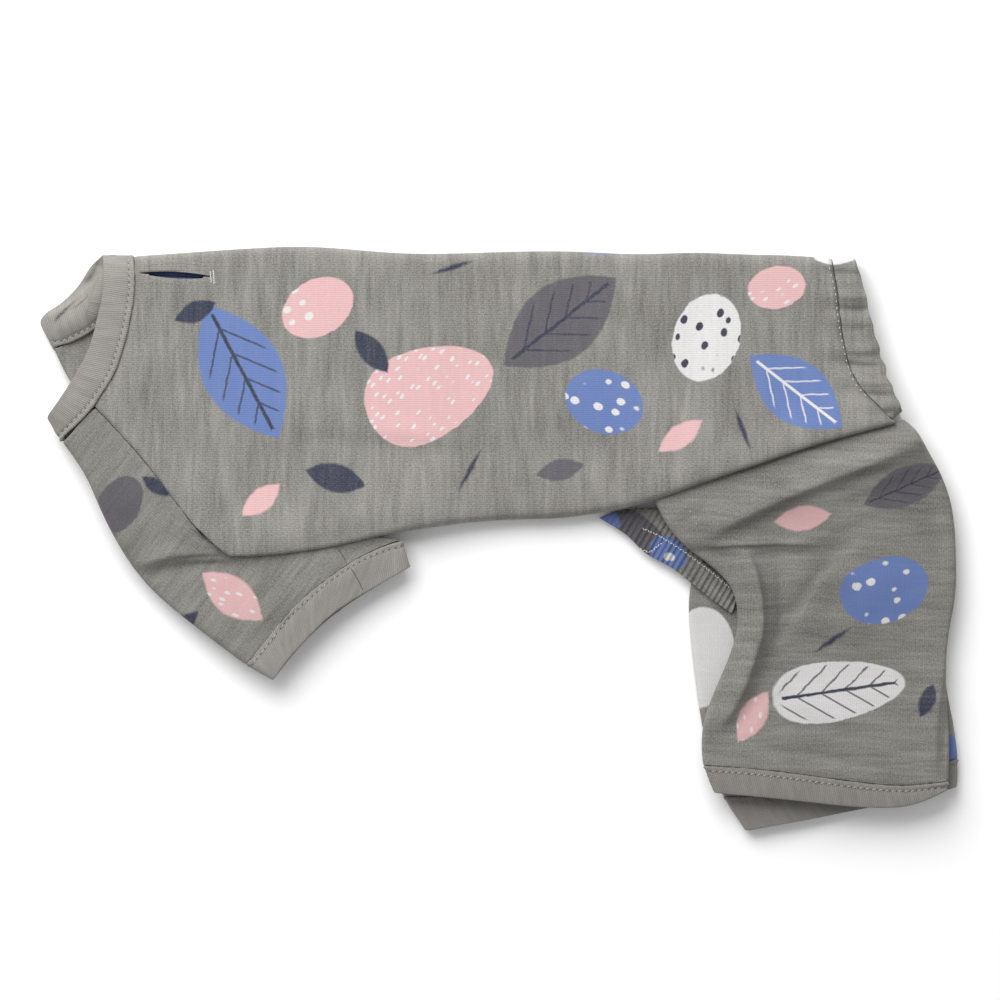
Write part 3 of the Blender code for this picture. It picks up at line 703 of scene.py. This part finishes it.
# %% The body's folds
BODY_FOLDS = (
    # x0, y0, xm, ym, x1, y1, rise0, rise1, half_left, half_right (all in millimetres)
    (-95.9, 45.2, -53.1, 43.4, -9.0, 37.1, -0.8, -0.9, 2.6, 5.0),
    (-93.6, 51.5, -53.1, 49.7, -9.0, 44.3, 0.5, 0.5, 5.0, 3.0),
    (-26.1, 31.7, 0.9, 27.2, 31.5, 20.0, -0.5, -0.5, 3.0, 6.0),
    (27.9, 44.3, 63.9, 37.6, 99.9, 40.7, -0.4, -0.3, 4.0, 7.0),
    (-158.4, 102.8, -152.1, 75.8, -141.3, 48.8, -0.8, -0.5, 4.0, 6.0),
    (-131.4, 107.3, -128.7, 71.3, -120.6, 35.3, 0.5, 0.4, 6.0, 6.0),
    (-144.9, 53.3, -135.9, 30.8, -119.7, 12.8, -0.3, -0.4, 4.0, 4.0),
    (-117.9, -7.9, -75.6, 8.3, -30.6, 17.3, 0.6, 0.3, 5.0, 5.0),
    (-89.1, -4.3, -53.1, 5.6, -17.1, 8.3, -0.4, -0.3, 3.0, 3.0),
    (45.9, 16.4, 90.9, 35.3, 149.4, 51.1, 0.6, 0.3, 6.0, 4.0),
    (63.9, 26.3, 108.9, 44.3, 135.9, 62.3, -0.4, -0.3, 4.0, 5.0),
    (86.4, 111.8, 90.9, 84.8, 80.1, 44.3, -0.6, -0.4, 6.0, 7.0),
    (117.9, 111.8, 124.7, 84.8, 117.9, 53.3, 0.5, 0.4, 7.0, 7.0),
    (-12.6, 120.8, -5.9, 93.8, -10.3, 62.3, -0.4, -0.3, 7.0, 7.0),
    (63.9, 118.6, 45.9, 107.3, 27.9, 107.3, -0.4, -0.3, 5.0, 5.0),
    (-89.1, 123.1, -35.1, 121.7, 27.9, 124.4, 0.3, 0.3, 4.0, 6.0),
)
print(len(BODY_FOLDS), "folds on the body")

# %% Puckers at the rear
REAR_FOLDS = (
    # x0, y0, xm, ym, x1, y1, rise0, rise1, half_left, half_right
    (141.3, 105.5, 157.5, 101.0, 171.9, 103.7, -1.5, -2.0, 1.6, 2.4),
    (143.1, 110.9, 156.6, 106.9, 170.1, 109.1, 1.0, 1.2, 2.4, 1.6),
    (144.9, 82.1, 158.4, 75.8, 174.6, 77.6, -1.6, -2.0, 1.6, 2.4),
    (144.9, 87.5, 158.4, 82.6, 171.9, 84.8, 1.0, 1.3, 2.6, 1.6),
    (149.4, 69.5, 163.8, 62.8, 180.9, 64.1, -1.6, -2.0, 1.6, 2.6),
    (150.3, 74.0, 163.8, 68.2, 179.1, 70.4, 1.0, 1.2, 2.2, 1.6),
    (157.5, 57.8, 168.3, 55.1, 180.9, 56.9, -1.2, -1.2, 1.6, 2.0),
    (144.0, 120.8, 156.2, 117.7, 167.4, 119.0, -1.0, -1.2, 1.6, 2.6),
    (146.7, 95.6, 157.5, 92.9, 168.3, 94.7, -0.5, -0.9, 1.6, 2.0),
)
print(len(REAR_FOLDS), "puckers at the rear")

# %% The body's print
BODY_PRINT = (
    # shape, x, y, half_length, half_width, turn, ink, drawn over, its ink (lengths in millimetres)
    ("leaf", -114.8, 74.9, 34.0, 18.0, -62.0, "blue", "veins", "navy"),
    ("oval", -81.0, 103.7, 17.0, 12.5, 30.0, "pink", "dots", "white"),
    ("leaf", -135.9, 101.9, 10.0, 4.6, 24.0, "navy", "", ""),
    ("egg", -30.6, 65.9, 30.0, 23.0, 24.0, "pink", "dashes", "white"),
    ("leaf", -56.7, 83.9, 12.0, 5.4, -52.0, "navy", "", ""),
    ("leaf", -12.6, 30.8, 10.0, 1.1, 62.0, "navy", "", ""),
    ("leaf", 27.9, 97.4, 32.0, 17.0, 38.0, "charcoal", "veins", "navy"),
    ("oval", 47.7, 61.4, 18.0, 14.0, -22.0, "blue", "dots", "white"),
    ("leaf", -72.9, 27.2, 14.0, 6.4, -15.0, "navy", "", ""),
    ("oval", 93.6, 90.2, 20.0, 15.0, 72.0, "white", "dots", "navy"),
    ("leaf", 133.7, 65.9, 26.0, 14.0, -38.0, "blue", "veins", "white"),
    ("oval", 125.1, 112.7, 13.0, 9.5, 12.0, "pink", "dashes", "white"),
    ("leaf", 109.8, 48.8, 9.0, 1.1, -70.0, "navy", "", ""),
    ("leaf", 27.9, 30.8, 11.0, 4.8, 12.0, "charcoal", "", ""),
    ("leaf", 81.9, 46.1, 12.0, 5.0, 35.0, "pink", "", ""),
    ("oval", 45.9, 131.6, 11.0, 3.0, 0.0, "blue", "", ""),
    ("oval", 151.2, 127.1, 9.0, 4.0, 0.0, "white", "", ""),
    ("leaf", -106.2, 17.3, 11.0, 5.0, 40.0, "pink", "", ""),
    ("leaf", -20.7, 121.7, 9.0, 1.1, 18.0, "navy", "", ""),
)
print(len(BODY_PRINT), "motifs on the body")

# %% Make the body and open its slot
SLOT_X, SLOT_Y = -145.3 * MM, 117.9 * MM
SLOT_HALF = 17.0 * MM  # half the length over which the slot opens
LIP_REACH = 2.2 * MM  # how far the cloth beside the slot gives way
SLOT_TURN = math.radians(-3.0)
body = soft_copy("body", 2, 3)
close_seams(body, ["neck_band", "sleeve_near", "tail_casing"])
points = points_of(body)
away = points[:, 1] - SLOT_Y - (points[:, 0] - SLOT_X) * math.tan(SLOT_TURN)
along_slot = np.clip(1.0 - ((points[:, 0] - SLOT_X - 2.0 * MM) / SLOT_HALF) ** 2, 0.0, 1.0)
gape = along_slot * np.exp(-np.abs(away) / LIP_REACH)
on_top = points[:, 2] > 7.0 * MM
points[:, 1] += gape * np.sign(away) * on_top * 0.6 * MM
points[:, 2] += gape * (away > 0) * on_top * 0.5 * MM
set_points(body, points)
drape(body, BODY_FOLDS + REAR_FOLDS, 3.0, 5.0, 0.22, (1.0, 0.6), 1.0)
map_cloth(body, middle=4.0)
body.data.materials.append(jersey("jersey_body_print", BODY_PRINT))

# %% [markdown]
# ## Sleeves
# The near sleeve falls from the shoulder, folds under itself in one crease and comes out flat at
# the cuff. The far one is hidden below it and is only smoothed.

# %% The near sleeve's folds and print
SLEEVE_FOLDS = (
    # x0, y0, xm, ym, x1, y1, rise0, rise1, half_left, half_right
    (-162.9, -17.8, -148.5, -9.2, -116.1, -11.5, -2.0, -2.4, 1.0, 4.4),
    (-165.6, -14.2, -148.5, -4.7, -122.4, -6.5, 1.8, 1.6, 4.4, 1.2),
    (-103.0, -7.9, -102.2, -18.7, -104.4, -30.4, -0.7, -0.5, 1.0, 3.0),
    (-99.5, -7.9, -98.5, -18.7, -100.8, -30.4, 0.5, 0.4, 3.0, 2.0),
    (-138.6, -12.4, -135.9, -23.2, -146.7, -34.0, -0.5, -0.3, 2.0, 3.0),
    (-126.9, -12.4, -123.3, -27.7, -131.4, -43.0, 0.5, 0.4, 3.0, 3.0),
    (-116.1, -13.3, -113.4, -27.7, -117.9, -43.9, -0.4, -0.3, 2.4, 3.0),
    (-72.5, -2.9, -70.2, -7.0, -67.5, -11.9, -0.9, -0.8, 3.2, 0.9),
    (-68.9, -7.9, -58.5, -4.3, -45.0, 0.2, -1.2, -1.0, 3.0, 3.0),
    (-179.1, 30.8, -165.6, 12.8, -143.1, -2.9, 0.4, 0.4, 5.0, 5.0),
    (-184.5, 35.3, -174.6, 17.3, -166.5, 3.8, -0.3, -0.3, 3.0, 4.0),
    (-171.0, -9.7, -152.1, -32.2, -125.1, -50.2, 0.4, 0.3, 3.0, 3.0),
)
SLEEVE_PRINT = (
    # shape, x, y, half_length, half_width, turn, ink, drawn over, its ink
    ("oval", -170.1, 15.1, 14.0, 9.5, 58.0, "charcoal", "", ""),
    ("leaf", -153.5, 23.6, 7.5, 3.2, -35.0, "navy", "", ""),
    ("leaf", -119.2, -25.9, 17.0, 8.4, -38.0, "pink", "dashes", "white"),
    ("leaf", -140.4, -37.6, 7.5, 3.2, 40.0, "navy", "", ""),
)
print(len(SLEEVE_FOLDS), "folds and", len(SLEEVE_PRINT), "motifs on the near sleeve")

# %% Make both sleeves
# painted shade: the sleeves' jersey at 0.85 of its brightness, darker than the body's in this light
sleeve_print = jersey("jersey_sleeve_print_shaded", SLEEVE_PRINT, -38.0, 0.85)
sleeve = soft_copy("sleeve_near", 3, 4)
close_seams(sleeve, ["neck_band", "body", "cuff_sleeve_near"])
map_cloth(sleeve, middle=8.6)
drape(sleeve, SLEEVE_FOLDS, 8.2, 1.6, 0.2, (1.0, 1.0), 2.0, 0.8)
sleeve.data.materials.append(sleeve_print)
far_sleeve = soft_copy("sleeve_far", 2, 2)
close_seams(far_sleeve, ["cuff_sleeve_far"])
map_cloth(far_sleeve, shift=(0.31, 0.07))
far_sleeve.data.materials.append(sleeve_print)

# %% [markdown]
# ## Hind legs
# The near leg is the most rumpled piece: a thick roll under the body's edge, a sharp hollow
# below it, one tube-like fold down its belly side and a diagonal crease. The far leg shows as a
# pale strip beside it and below its cuff.

# %% The near leg's folds
LEG_FOLDS = (
    # x0, y0, xm, ym, x1, y1, rise0, rise1, half_left, half_right
    (70.7, 15.1, 122.4, 37.6, 177.3, 52.9, -0.6, -1.0, 3.0, 2.0),
    (86.4, -1.6, 129.6, 23.6, 189.9, 42.5, 3.8, 3.2, 6.8, 3.0),
    (87.3, -6.1, 132.8, 18.7, 191.7, 37.6, -1.4, -0.6, 1.2, 4.5),
    (86.4, -3.4, 115.7, 0.2, 150.3, -2.5, 3.0, 1.8, 4.2, 1.4),
    (90.9, -7.0, 120.6, -8.3, 153.0, -5.6, -1.4, -1.2, 1.1, 4.6),
    (80.1, 7.4, 88.2, 8.3, 96.3, 17.3, -1.1, -0.5, 1.3, 2.0),
    (77.4, 11.9, 86.4, 13.7, 93.6, 21.8, 0.8, 0.4, 2.0, 1.4),
    (108.9, -3.4, 120.6, -27.7, 114.3, -55.6, 5.0, 5.0, 2.4, 5.0),
    (114.3, -45.7, 111.2, -70.4, 96.8, -87.1, 4.6, 1.8, 2.2, 4.8),
    (124.7, -7.0, 130.1, -32.2, 121.0, -56.5, -1.2, -0.8, 6.0, 1.6),
    (121.5, -48.4, 117.9, -69.1, 101.7, -89.8, -1.2, -1.2, 4.5, 1.5),
    (156.6, -7.4, 143.6, -24.1, 127.4, -51.1, 4.4, 3.4, 9.5, 1.8),
    (151.2, -6.5, 137.2, -24.1, 124.2, -46.6, -0.8, -0.6, 1.2, 3.4),
    (200.7, -54.7, 194.0, -81.7, 196.2, -108.7, 1.8, 1.5, 1.6, 4.2),
    (204.3, -68.2, 198.9, -86.2, 200.7, -108.7, -1.2, -1.0, 1.2, 1.6),
    (180.9, -9.7, 162.9, -27.7, 142.7, -56.9, 1.0, 0.8, 9.0, 9.0),
    (192.2, 30.8, 198.0, 8.3, 198.9, -18.7, -1.0, -0.7, 3.0, 5.0),
    (189.0, 33.5, 171.9, 25.4, 147.6, 16.4, 1.0, 0.8, 3.0, 1.6),
    (171.9, 15.1, 158.4, 7.4, 143.1, 2.9, 0.8, 0.8, 3.6, 3.0),
    (183.2, -27.7, 189.0, -50.2, 183.2, -72.7, -0.9, -0.7, 6.0, 6.0),
    (126.9, -68.2, 149.4, -81.7, 171.9, -86.2, 0.9, 0.6, 6.0, 5.0),
    (131.4, -56.5, 122.4, -68.2, 114.3, -90.7, 0.8, 0.6, 3.0, 3.0),
    (107.1, -91.6, 135.9, -96.1, 171.9, -99.7, -0.7, -0.7, 3.0, 4.0),
)
print(len(LEG_FOLDS), "folds on the near leg")

# %% The legs' prints
LEG_PRINT = (
    # shape, x, y, half_length, half_width, turn, ink, drawn over, its ink
    ("oval", 173.7, -23.2, 20.0, 14.5, 20.0, "blue", "dots", "white"),
    ("leaf", 183.2, 23.6, 21.0, 8.6, 24.0, "charcoal", "veins", "navy"),
    ("egg", 153.0, -68.2, 30.0, 15.0, 8.0, "white", "veins", "navy"),
    ("leaf", 136.8, 9.2, 13.0, 5.4, 8.0, "pink", "", ""),
    ("leaf", 114.3, -79.9, 13.0, 6.0, 60.0, "pink", "dashes", "white"),
    ("leaf", 192.2, -72.7, 8.0, 3.2, 70.0, "navy", "", ""),
    ("leaf", 150.3, -45.7, 9.0, 1.1, 35.0, "navy", "", ""),
)
FAR_LEG_PRINT = (
    # shape, x, y, half_length, half_width, turn, ink, drawn over, its ink
    ("oval", 90.9, -53.8, 23.0, 15.5, 82.0, "white", "", ""),
    ("oval", 204.3, -94.3, 5.0, 6.0, 20.0, "blue", "", ""),
)
print(len(LEG_PRINT), "motifs on the near leg and", len(FAR_LEG_PRINT), "on the far one")

# %% Make both legs
leg = soft_copy("leg_near", 3, 4)
close_seams(leg, ["cuff_leg_near"])
map_cloth(leg, top=7.9)
drape(leg, LEG_FOLDS, 8.8, 1.4, 0.24, (1.0, 1.0), 3.0, 1.1, 2)
# painted shade: the near leg's jersey at 0.84 of its brightness
leg.data.materials.append(jersey("jersey_leg_print", LEG_PRINT, 90.0, 0.84))
far_leg = soft_copy("leg_far", 2, 3)
close_seams(far_leg, ["cuff_leg_far"])
map_cloth(far_leg)
# painted shade: the far leg's jersey at 0.84 of its brightness
far_leg.data.materials.append(jersey("jersey_far_leg_print", FAR_LEG_PRINT, 90.0, 0.84))

# %% [markdown]
# ## Cuffs
# Each cuff is the same doubled rib as the neck, sewn to the limb's end in a rolled seam.

# %% The cuffs' edges
CUFFS = {
    # node: (sewn edge, free edge, height above which it shows, material slot, flat size in metres)
    "cuff_sleeve_near": (
        ((-113.9, -57.4), (-98.5, -38.5), (-86.4, -25.9),
         (-68.4, -12.4), (-54.0, -4.7), (-43.6, -1.1)),
        ((-101.7, -64.1), (-94.5, -54.2), (-85.5, -44.3),
         (-74.7, -34.0), (-60.8, -25.0), (-40.1, -13.3)),
        10.5, "rib_sleeve_near", (0.0126, 0.19),
    ),
    "cuff_sleeve_far": (
        ((-110.7, -53.8), (-95.9, -37.1), (-80.1, -22.7), (-63.5, -12.4), (-45.0, -4.7)),
        ((-102.6, -59.6), (-89.1, -44.8), (-75.6, -32.6), (-59.4, -21.8), (-42.3, -12.4)),
        3.5, "rib_sleeve_far", (0.0110, 0.15),
    ),
    "cuff_leg_near": (
        ((91.4, -101.9), (113.4, -103.3), (136.8, -106.0),
         (159.3, -109.1), (180.9, -110.9), (201.6, -109.1)),
        ((96.3, -114.5), (117.0, -116.3), (138.6, -118.6),
         (161.1, -120.8), (183.2, -120.4), (201.2, -113.2)),
        10.5, "rib_leg_near", (0.0115, 0.22),
    ),
    "cuff_leg_far": (
        ((100.4, -116.3), (126.9, -115.0), (153.9, -111.8), (180.9, -106.4), (206.6, -99.2)),
        ((110.7, -132.1), (135.9, -127.6), (162.9, -122.2), (185.4, -117.7), (206.1, -112.3)),
        3.5, "rib_leg_far", (0.0126, 0.22),
    ),
}
print("cuffs", sorted(CUFFS))

# %% Make the four cuffs
cuff_pieces = {}
# painted shade: the leg cuffs' rib at 0.82 of the neck band's brightness
leg_cuff_shaded_knit = rib("rib_knit_cuffs", 0.82)
for node, (sewn, free, above, slot, flat) in CUFFS.items():
    piece = soft_copy(node, 3, 2)
    close_seams(piece, [node.replace("cuff_leg", "leg").replace("cuff_sleeve", "sleeve")], 0.5)
    sewn_line = np.pad(smooth_curve(sewn, 160), ((0, 0), (0, 1)))
    free_line = np.pad(smooth_curve(free, 160), ((0, 0), (0, 1)))
    _, across = map_band(piece, sewn_line, free_line)
    roll_seam(piece, across, above)
    piece.data.materials.append(leg_cuff_shaded_knit if "leg" in node else rib_knit)
    cuff_pieces[node] = (piece, sewn_line, free_line)

# %% [markdown]
# ## Casings
# At the tail the jersey is turned over a narrow elastic, so its edge is wavy. The belly casing
# shows the elastic's inside in tight pleats, its cloth painted darker as painted shade under the
# body's edge, with zigzag stitching down it.

# %% Tail casing
TAIL_WAVE = 9.5  # mm from one wave of the edge to the next
tail = soft_copy("tail_casing", 3, 2)
close_seams(tail, ["body"])
drape(tail, REAR_FOLDS, 3.0, 5.0, 0.2, (1.0, 1.0), 1.0)
points = points_of(tail)
weight = ease((points[:, 2] - 5.0 * MM) / (4.0 * MM))
SEAM_Y = (0.052, 0.075, 0.1, 0.127)  # the casing's seam: places along it in metres
SEAM_X = (0.172, 0.158, 0.155, 0.152)
outward = ease((points[:, 0] - np.interp(points[:, 1], SEAM_Y, SEAM_X)) / (9 * MM))
wave = np.sin(points[:, 1] / MM * 2 * math.pi / TAIL_WAVE + 1.2 * np.sin(points[:, 1] / MM / 11))
points[:, 2] += 0.3 * MM * wave * weight * outward
points[:, 0] += 0.35 * MM * wave * outward
set_points(tail, points)
map_cloth(tail, middle=4.0)
tail.data.materials.append(body.data.materials[0])

# %% Belly casing
PLEAT = 2.6  # mm from one pleat to the next
PLEAT_RISE = 0.42 * MM
belly = soft_copy("belly_casing", 3, 1)
points = points_of(belly)
low, high = np.array([45.0, 8.8]) * MM, np.array([104.9, -34.4]) * MM
way = (high - low) / np.linalg.norm(high - low)
run = (points[:, :2] - low) @ way
side = (points[:, :2] - low) @ np.array([-way[1], way[0]])
pleat = np.sin(run / MM * 2 * math.pi / PLEAT + 0.8 * np.sin(run / MM / 5) + side / MM * 0.25)
points[:, 2] += PLEAT_RISE * pleat
set_points(belly, points)
map_cloth(belly, inner_reach=0.5)
BELLY_PRINT = (
    # shape, x, y, half_length, half_width, turn, ink, drawn over, its ink
    ("oval", 61.2, 2.0, 20.0, 9.0, -38.0, "charcoal", "", ""),
    ("oval", 76.5, -6.5, 9.0, 7.0, -35.0, "blue", "", ""),
    ("oval", 77.0, -8.3, 2.2, 2.0, 0.0, "white", "", ""),
    ("oval", 48.1, 9.2, 7.5, 5.0, -30.0, "blue", "", ""),
)
# painted shade: the casing's jersey at 0.74 of its brightness, under the body's edge
belly.data.materials.append(jersey("jersey_belly_pleats_shaded", BELLY_PRINT, 45.0, 0.74))

# %% [markdown]
# ## Leash slot
# A slit in the back, faced with navy cloth. The facing is a narrow lens just under the slit,
# seen through it as a dark line, with a bar of stitches at its rear end.

# %% Slot facing
FACING_LONG, FACING_WIDE, FACING_HEIGHT = 17.6, 2.9, 9.9  # half sizes and height, in mm
deselect()
bpy.ops.mesh.primitive_circle_add(vertices=32, radius=1.0, fill_type="NGON", location=(0, 0, 0))
facing = bpy.context.object
facing.name = "slot_facing"
for vertex in facing.data.vertices:
    slim = 1.0 - 0.5 * vertex.co.x**2
    vertex.co.x *= FACING_LONG * MM
    vertex.co.y *= FACING_WIDE * MM * slim
bpy.ops.object.mode_set(mode="EDIT")
bpy.ops.mesh.select_all(action="SELECT")
bpy.ops.mesh.inset(thickness=0.5 * MM)
bpy.ops.transform.translate(value=(0.0, 0.0, -0.5 * MM))
bpy.ops.object.mode_set(mode="OBJECT")
wall = facing.modifiers.new("wall", "SOLIDIFY")
wall.thickness = 0.5 * MM
bpy.ops.object.modifier_apply(modifier=wall.name)
facing.location = (SLOT_X, SLOT_Y, FACING_HEIGHT * MM)
facing.rotation_euler = (0.0, 0.0, SLOT_TURN)
bpy.ops.object.transform_apply(location=True, rotation=True, scale=True)
bpy.ops.object.shade_smooth()
board = Board("navy_facing")
fleck = board.noise(board.node("ShaderNodeTexCoord", None, (), 3), 1800.0)
navy_cloth = board.mix(fleck, linear(22, 26, 48), linear(70, 86, 132))
facing.data.materials.append(board.finish(navy_cloth, 0.9, fleck, 0.3))
print("slot facing", len(facing.data.polygons), "faces")
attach(facing, "root")

# %% [markdown]
# ## Stitches
# The machine's stitches are short bars of pale thread, about nine to the inch. One bar is
# modelled and copied along each seam, resting on whatever cloth is under it.

# %% One bar, and the cloth under it
deselect()
bpy.ops.mesh.primitive_uv_sphere_add(segments=6, ring_count=5, radius=1.0)
bar = bpy.context.object
bar_points = points_of(bar).copy()
bar_faces = [tuple(face.vertices) for face in bar.data.polygons]
bpy.data.objects.remove(bar)
ground_pieces = [neck, body, sleeve, leg, far_leg, tail, belly] + [p[0] for p in cuff_pieces.values()]
grounds = [BVHTree.FromObject(p, bpy.context.evaluated_depsgraph_get()) for p in ground_pieces]


def ground(x, y, top=0.05):
    hits = [tree.ray_cast(Vector((x, y, top)), Vector((0, 0, -1))) for tree in grounds]
    heights = [hit[0].z for hit in hits if hit[0] is not None]
    return max(heights) if heights else None


# %% Thread
def thread(name, color):
    board = Board(name)
    strands = board.noise(board.node("ShaderNodeTexCoord", None, (), 3), 2600.0)
    shade = (*[0.8 * part for part in color[:3]], 1.0)
    return board.finish(board.mix(strands, shade, color), 0.7, strands, 0.2)


# %% A row of bars
def stitches(name, lines, look, length, pitch, wide, turn=0.0, slant=0.0, start=0.5, highest=50.0):
    """Lays bars of thread along the lines; lengths and the highest place for a bar are in mm."""
    points, faces = [], []
    for line in lines:
        line = np.array(line)
        run = np.concatenate([[0.0], np.cumsum(np.linalg.norm(np.diff(line, axis=0), axis=1))])
        for k in range(int(run[-1] / (pitch * MM))):
            at = (k + start) * pitch * MM
            x, y = (np.interp(at, run, line[:, n]) for n in (0, 1))
            ahead = [np.interp(at + 0.5 * MM, run, line[:, n]) - (x, y)[n] for n in (0, 1)]
            z = ground(x, y)
            if z is None or z > highest * MM:
                continue
            angle = math.atan2(ahead[1], ahead[0]) + math.radians(slant + turn * (1 if k % 2 else -1))
            scaled = bar_points * np.array([length / 2, wide / 2, 0.24]) * MM
            turned = scaled.copy()
            turned[:, 0] = scaled[:, 0] * math.cos(angle) - scaled[:, 1] * math.sin(angle) + x
            turned[:, 1] = scaled[:, 0] * math.sin(angle) + scaled[:, 1] * math.cos(angle) + y
            turned[:, 2] += z + 0.06 * MM
            first = len(points)
            points.extend(turned.tolist())
            faces.extend([tuple(first + n for n in face) for face in bar_faces])
    mesh = bpy.data.meshes.new(name)
    mesh.from_pydata(points, [], faces)
    mesh.shade_smooth()
    piece = bpy.data.objects.new(name, mesh)
    scene.collection.objects.link(piece)
    piece.data.materials.append(look)
    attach(piece, "root")
    print(name, len(points) // len(bar_points), "stitches")
    return piece


# %% Threads and the cover stitch
pale_thread = thread("pale_thread", linear(166, 163, 157))
white_thread = thread("white_thread", linear(214, 213, 210))
needle_shade = thread("needle_shade", linear(66, 64, 60))


def inset_line(sewn, free, across):
    way = free[:, :2] - sewn[:, :2]
    return sewn[:, :2] + way / np.linalg.norm(way, axis=1)[:, None] * across * MM


COVER_PITCH = 2.9  # mm from one cover stitch to the next
COVER_SLANT = 38.0  # degrees


def cover_stitch(name, line, highest=50.0):
    """A row of slanted bars, with a dark bar of painted shade between each two where the needle holes
    are.
    """
    turned = {"slant": COVER_SLANT, "highest": highest}
    stitches(name, [line], pale_thread, 1.9, COVER_PITCH, 0.62, **turned)
    # painted shade: dark bars where the needle holes lie between the stitches
    stitches(name + "_holes", [line], needle_shade, 0.8, COVER_PITCH, 0.5, start=1.0, **turned)


# %% Stitch the bands
NEAR_ROWS = 8  # rows of NECK on the near half
FAR_ROW = 14  # the row where the far half starts
neck_line = inset_line(neck_sewn, neck_free, 2.5)
cover_stitch("neck_stitches", neck_line[: ROW_STEPS * NEAR_ROWS])
cover_stitch("far_neck_stitches", neck_line[ROW_STEPS * FAR_ROW + 2 :], 8.5)
for node, (piece, sewn_line, free_line) in cuff_pieces.items():
    if "near" in node:
        cover_stitch(node + "_stitches", inset_line(sewn_line, free_line, 2.4))

# %% Stitch the tail, the slot and the belly
tail_rows = ((148.5, 122.6), (151.2, 111.8), (153.0, 97.4), (155.7, 83.0), (159.8, 70.4), (166.5, 62.8))
tail_line = smooth_curve(tail_rows, 60)
stitches("tail_stitches", [tail_line], white_thread, 1.3, 3.0, 0.4)
upper = smooth_curve(((-159.3, 122.6), (-144.0, 123.8), (-128.7, 122.6)), 20)
lower = smooth_curve(((-159.3, 115.4), (-144.0, 114.5), (-129.2, 113.2)), 20)
stitches("slot_stitches", [upper, lower], pale_thread, 1.5, 2.4, 0.36)
bars = [
    smooth_curve(((-127.8, 120.4), (-127.4, 114.1)), 4),
    smooth_curve(((-129.2, 119.9), (-128.7, 114.5)), 4),
]
stitches("slot_bar", bars, white_thread, 1.3, 1.0, 0.6)
zigzag_rows = (
    (64.8, 4.7), (68.9, 2.9), (73.4, 0.7), (83.2, -5.6), (88.2, -9.2), (95.4, -14.6), (104.4, -22.3),
)
zigzag = smooth_curve(zigzag_rows, 60)
second = smooth_curve(((63.9, -4.7), (68.4, -6.1), (72.0, -3.4), (74.7, -1.6)), 20)
stitches("belly_stitches", [zigzag, second], white_thread, 1.6, 1.3, 0.5, 38.0)
hem = smooth_curve(((83.2, 15.1), (87.8, 10.1), (89.5, 4.3)), 20)
stitches("hem_stitches", [hem], pale_thread, 1.6, 3.0, 0.5)
cuff_join = smooth_curve(((-66.6, -12.4), (-63.5, -17.3), (-60.3, -23.6)), 10)
underarm = smooth_curve(((-71.5, -5.2), (-69.3, -8.3), (-67.5, -11.9)), 10)
stitches("cuff_join_shade", [cuff_join, underarm], needle_shade, 1.6, 1.2, 0.3)

# %% [markdown]
# ## Table
# A plain white table, large enough that its edge is never seen.

# %% Table
deselect()
bpy.ops.mesh.primitive_plane_add(size=8.0, location=(0.0, 0.0, -0.0002))
table = bpy.context.object
table.name = "table"
board = Board("white_table")
board.shader.inputs["Base Color"].default_value = (0.94, 0.94, 0.94, 1.0)
board.shader.inputs["Roughness"].default_value = 0.7
table.data.materials.append(board.material)
print("table", round(table.dimensions.x, 2), "m across")
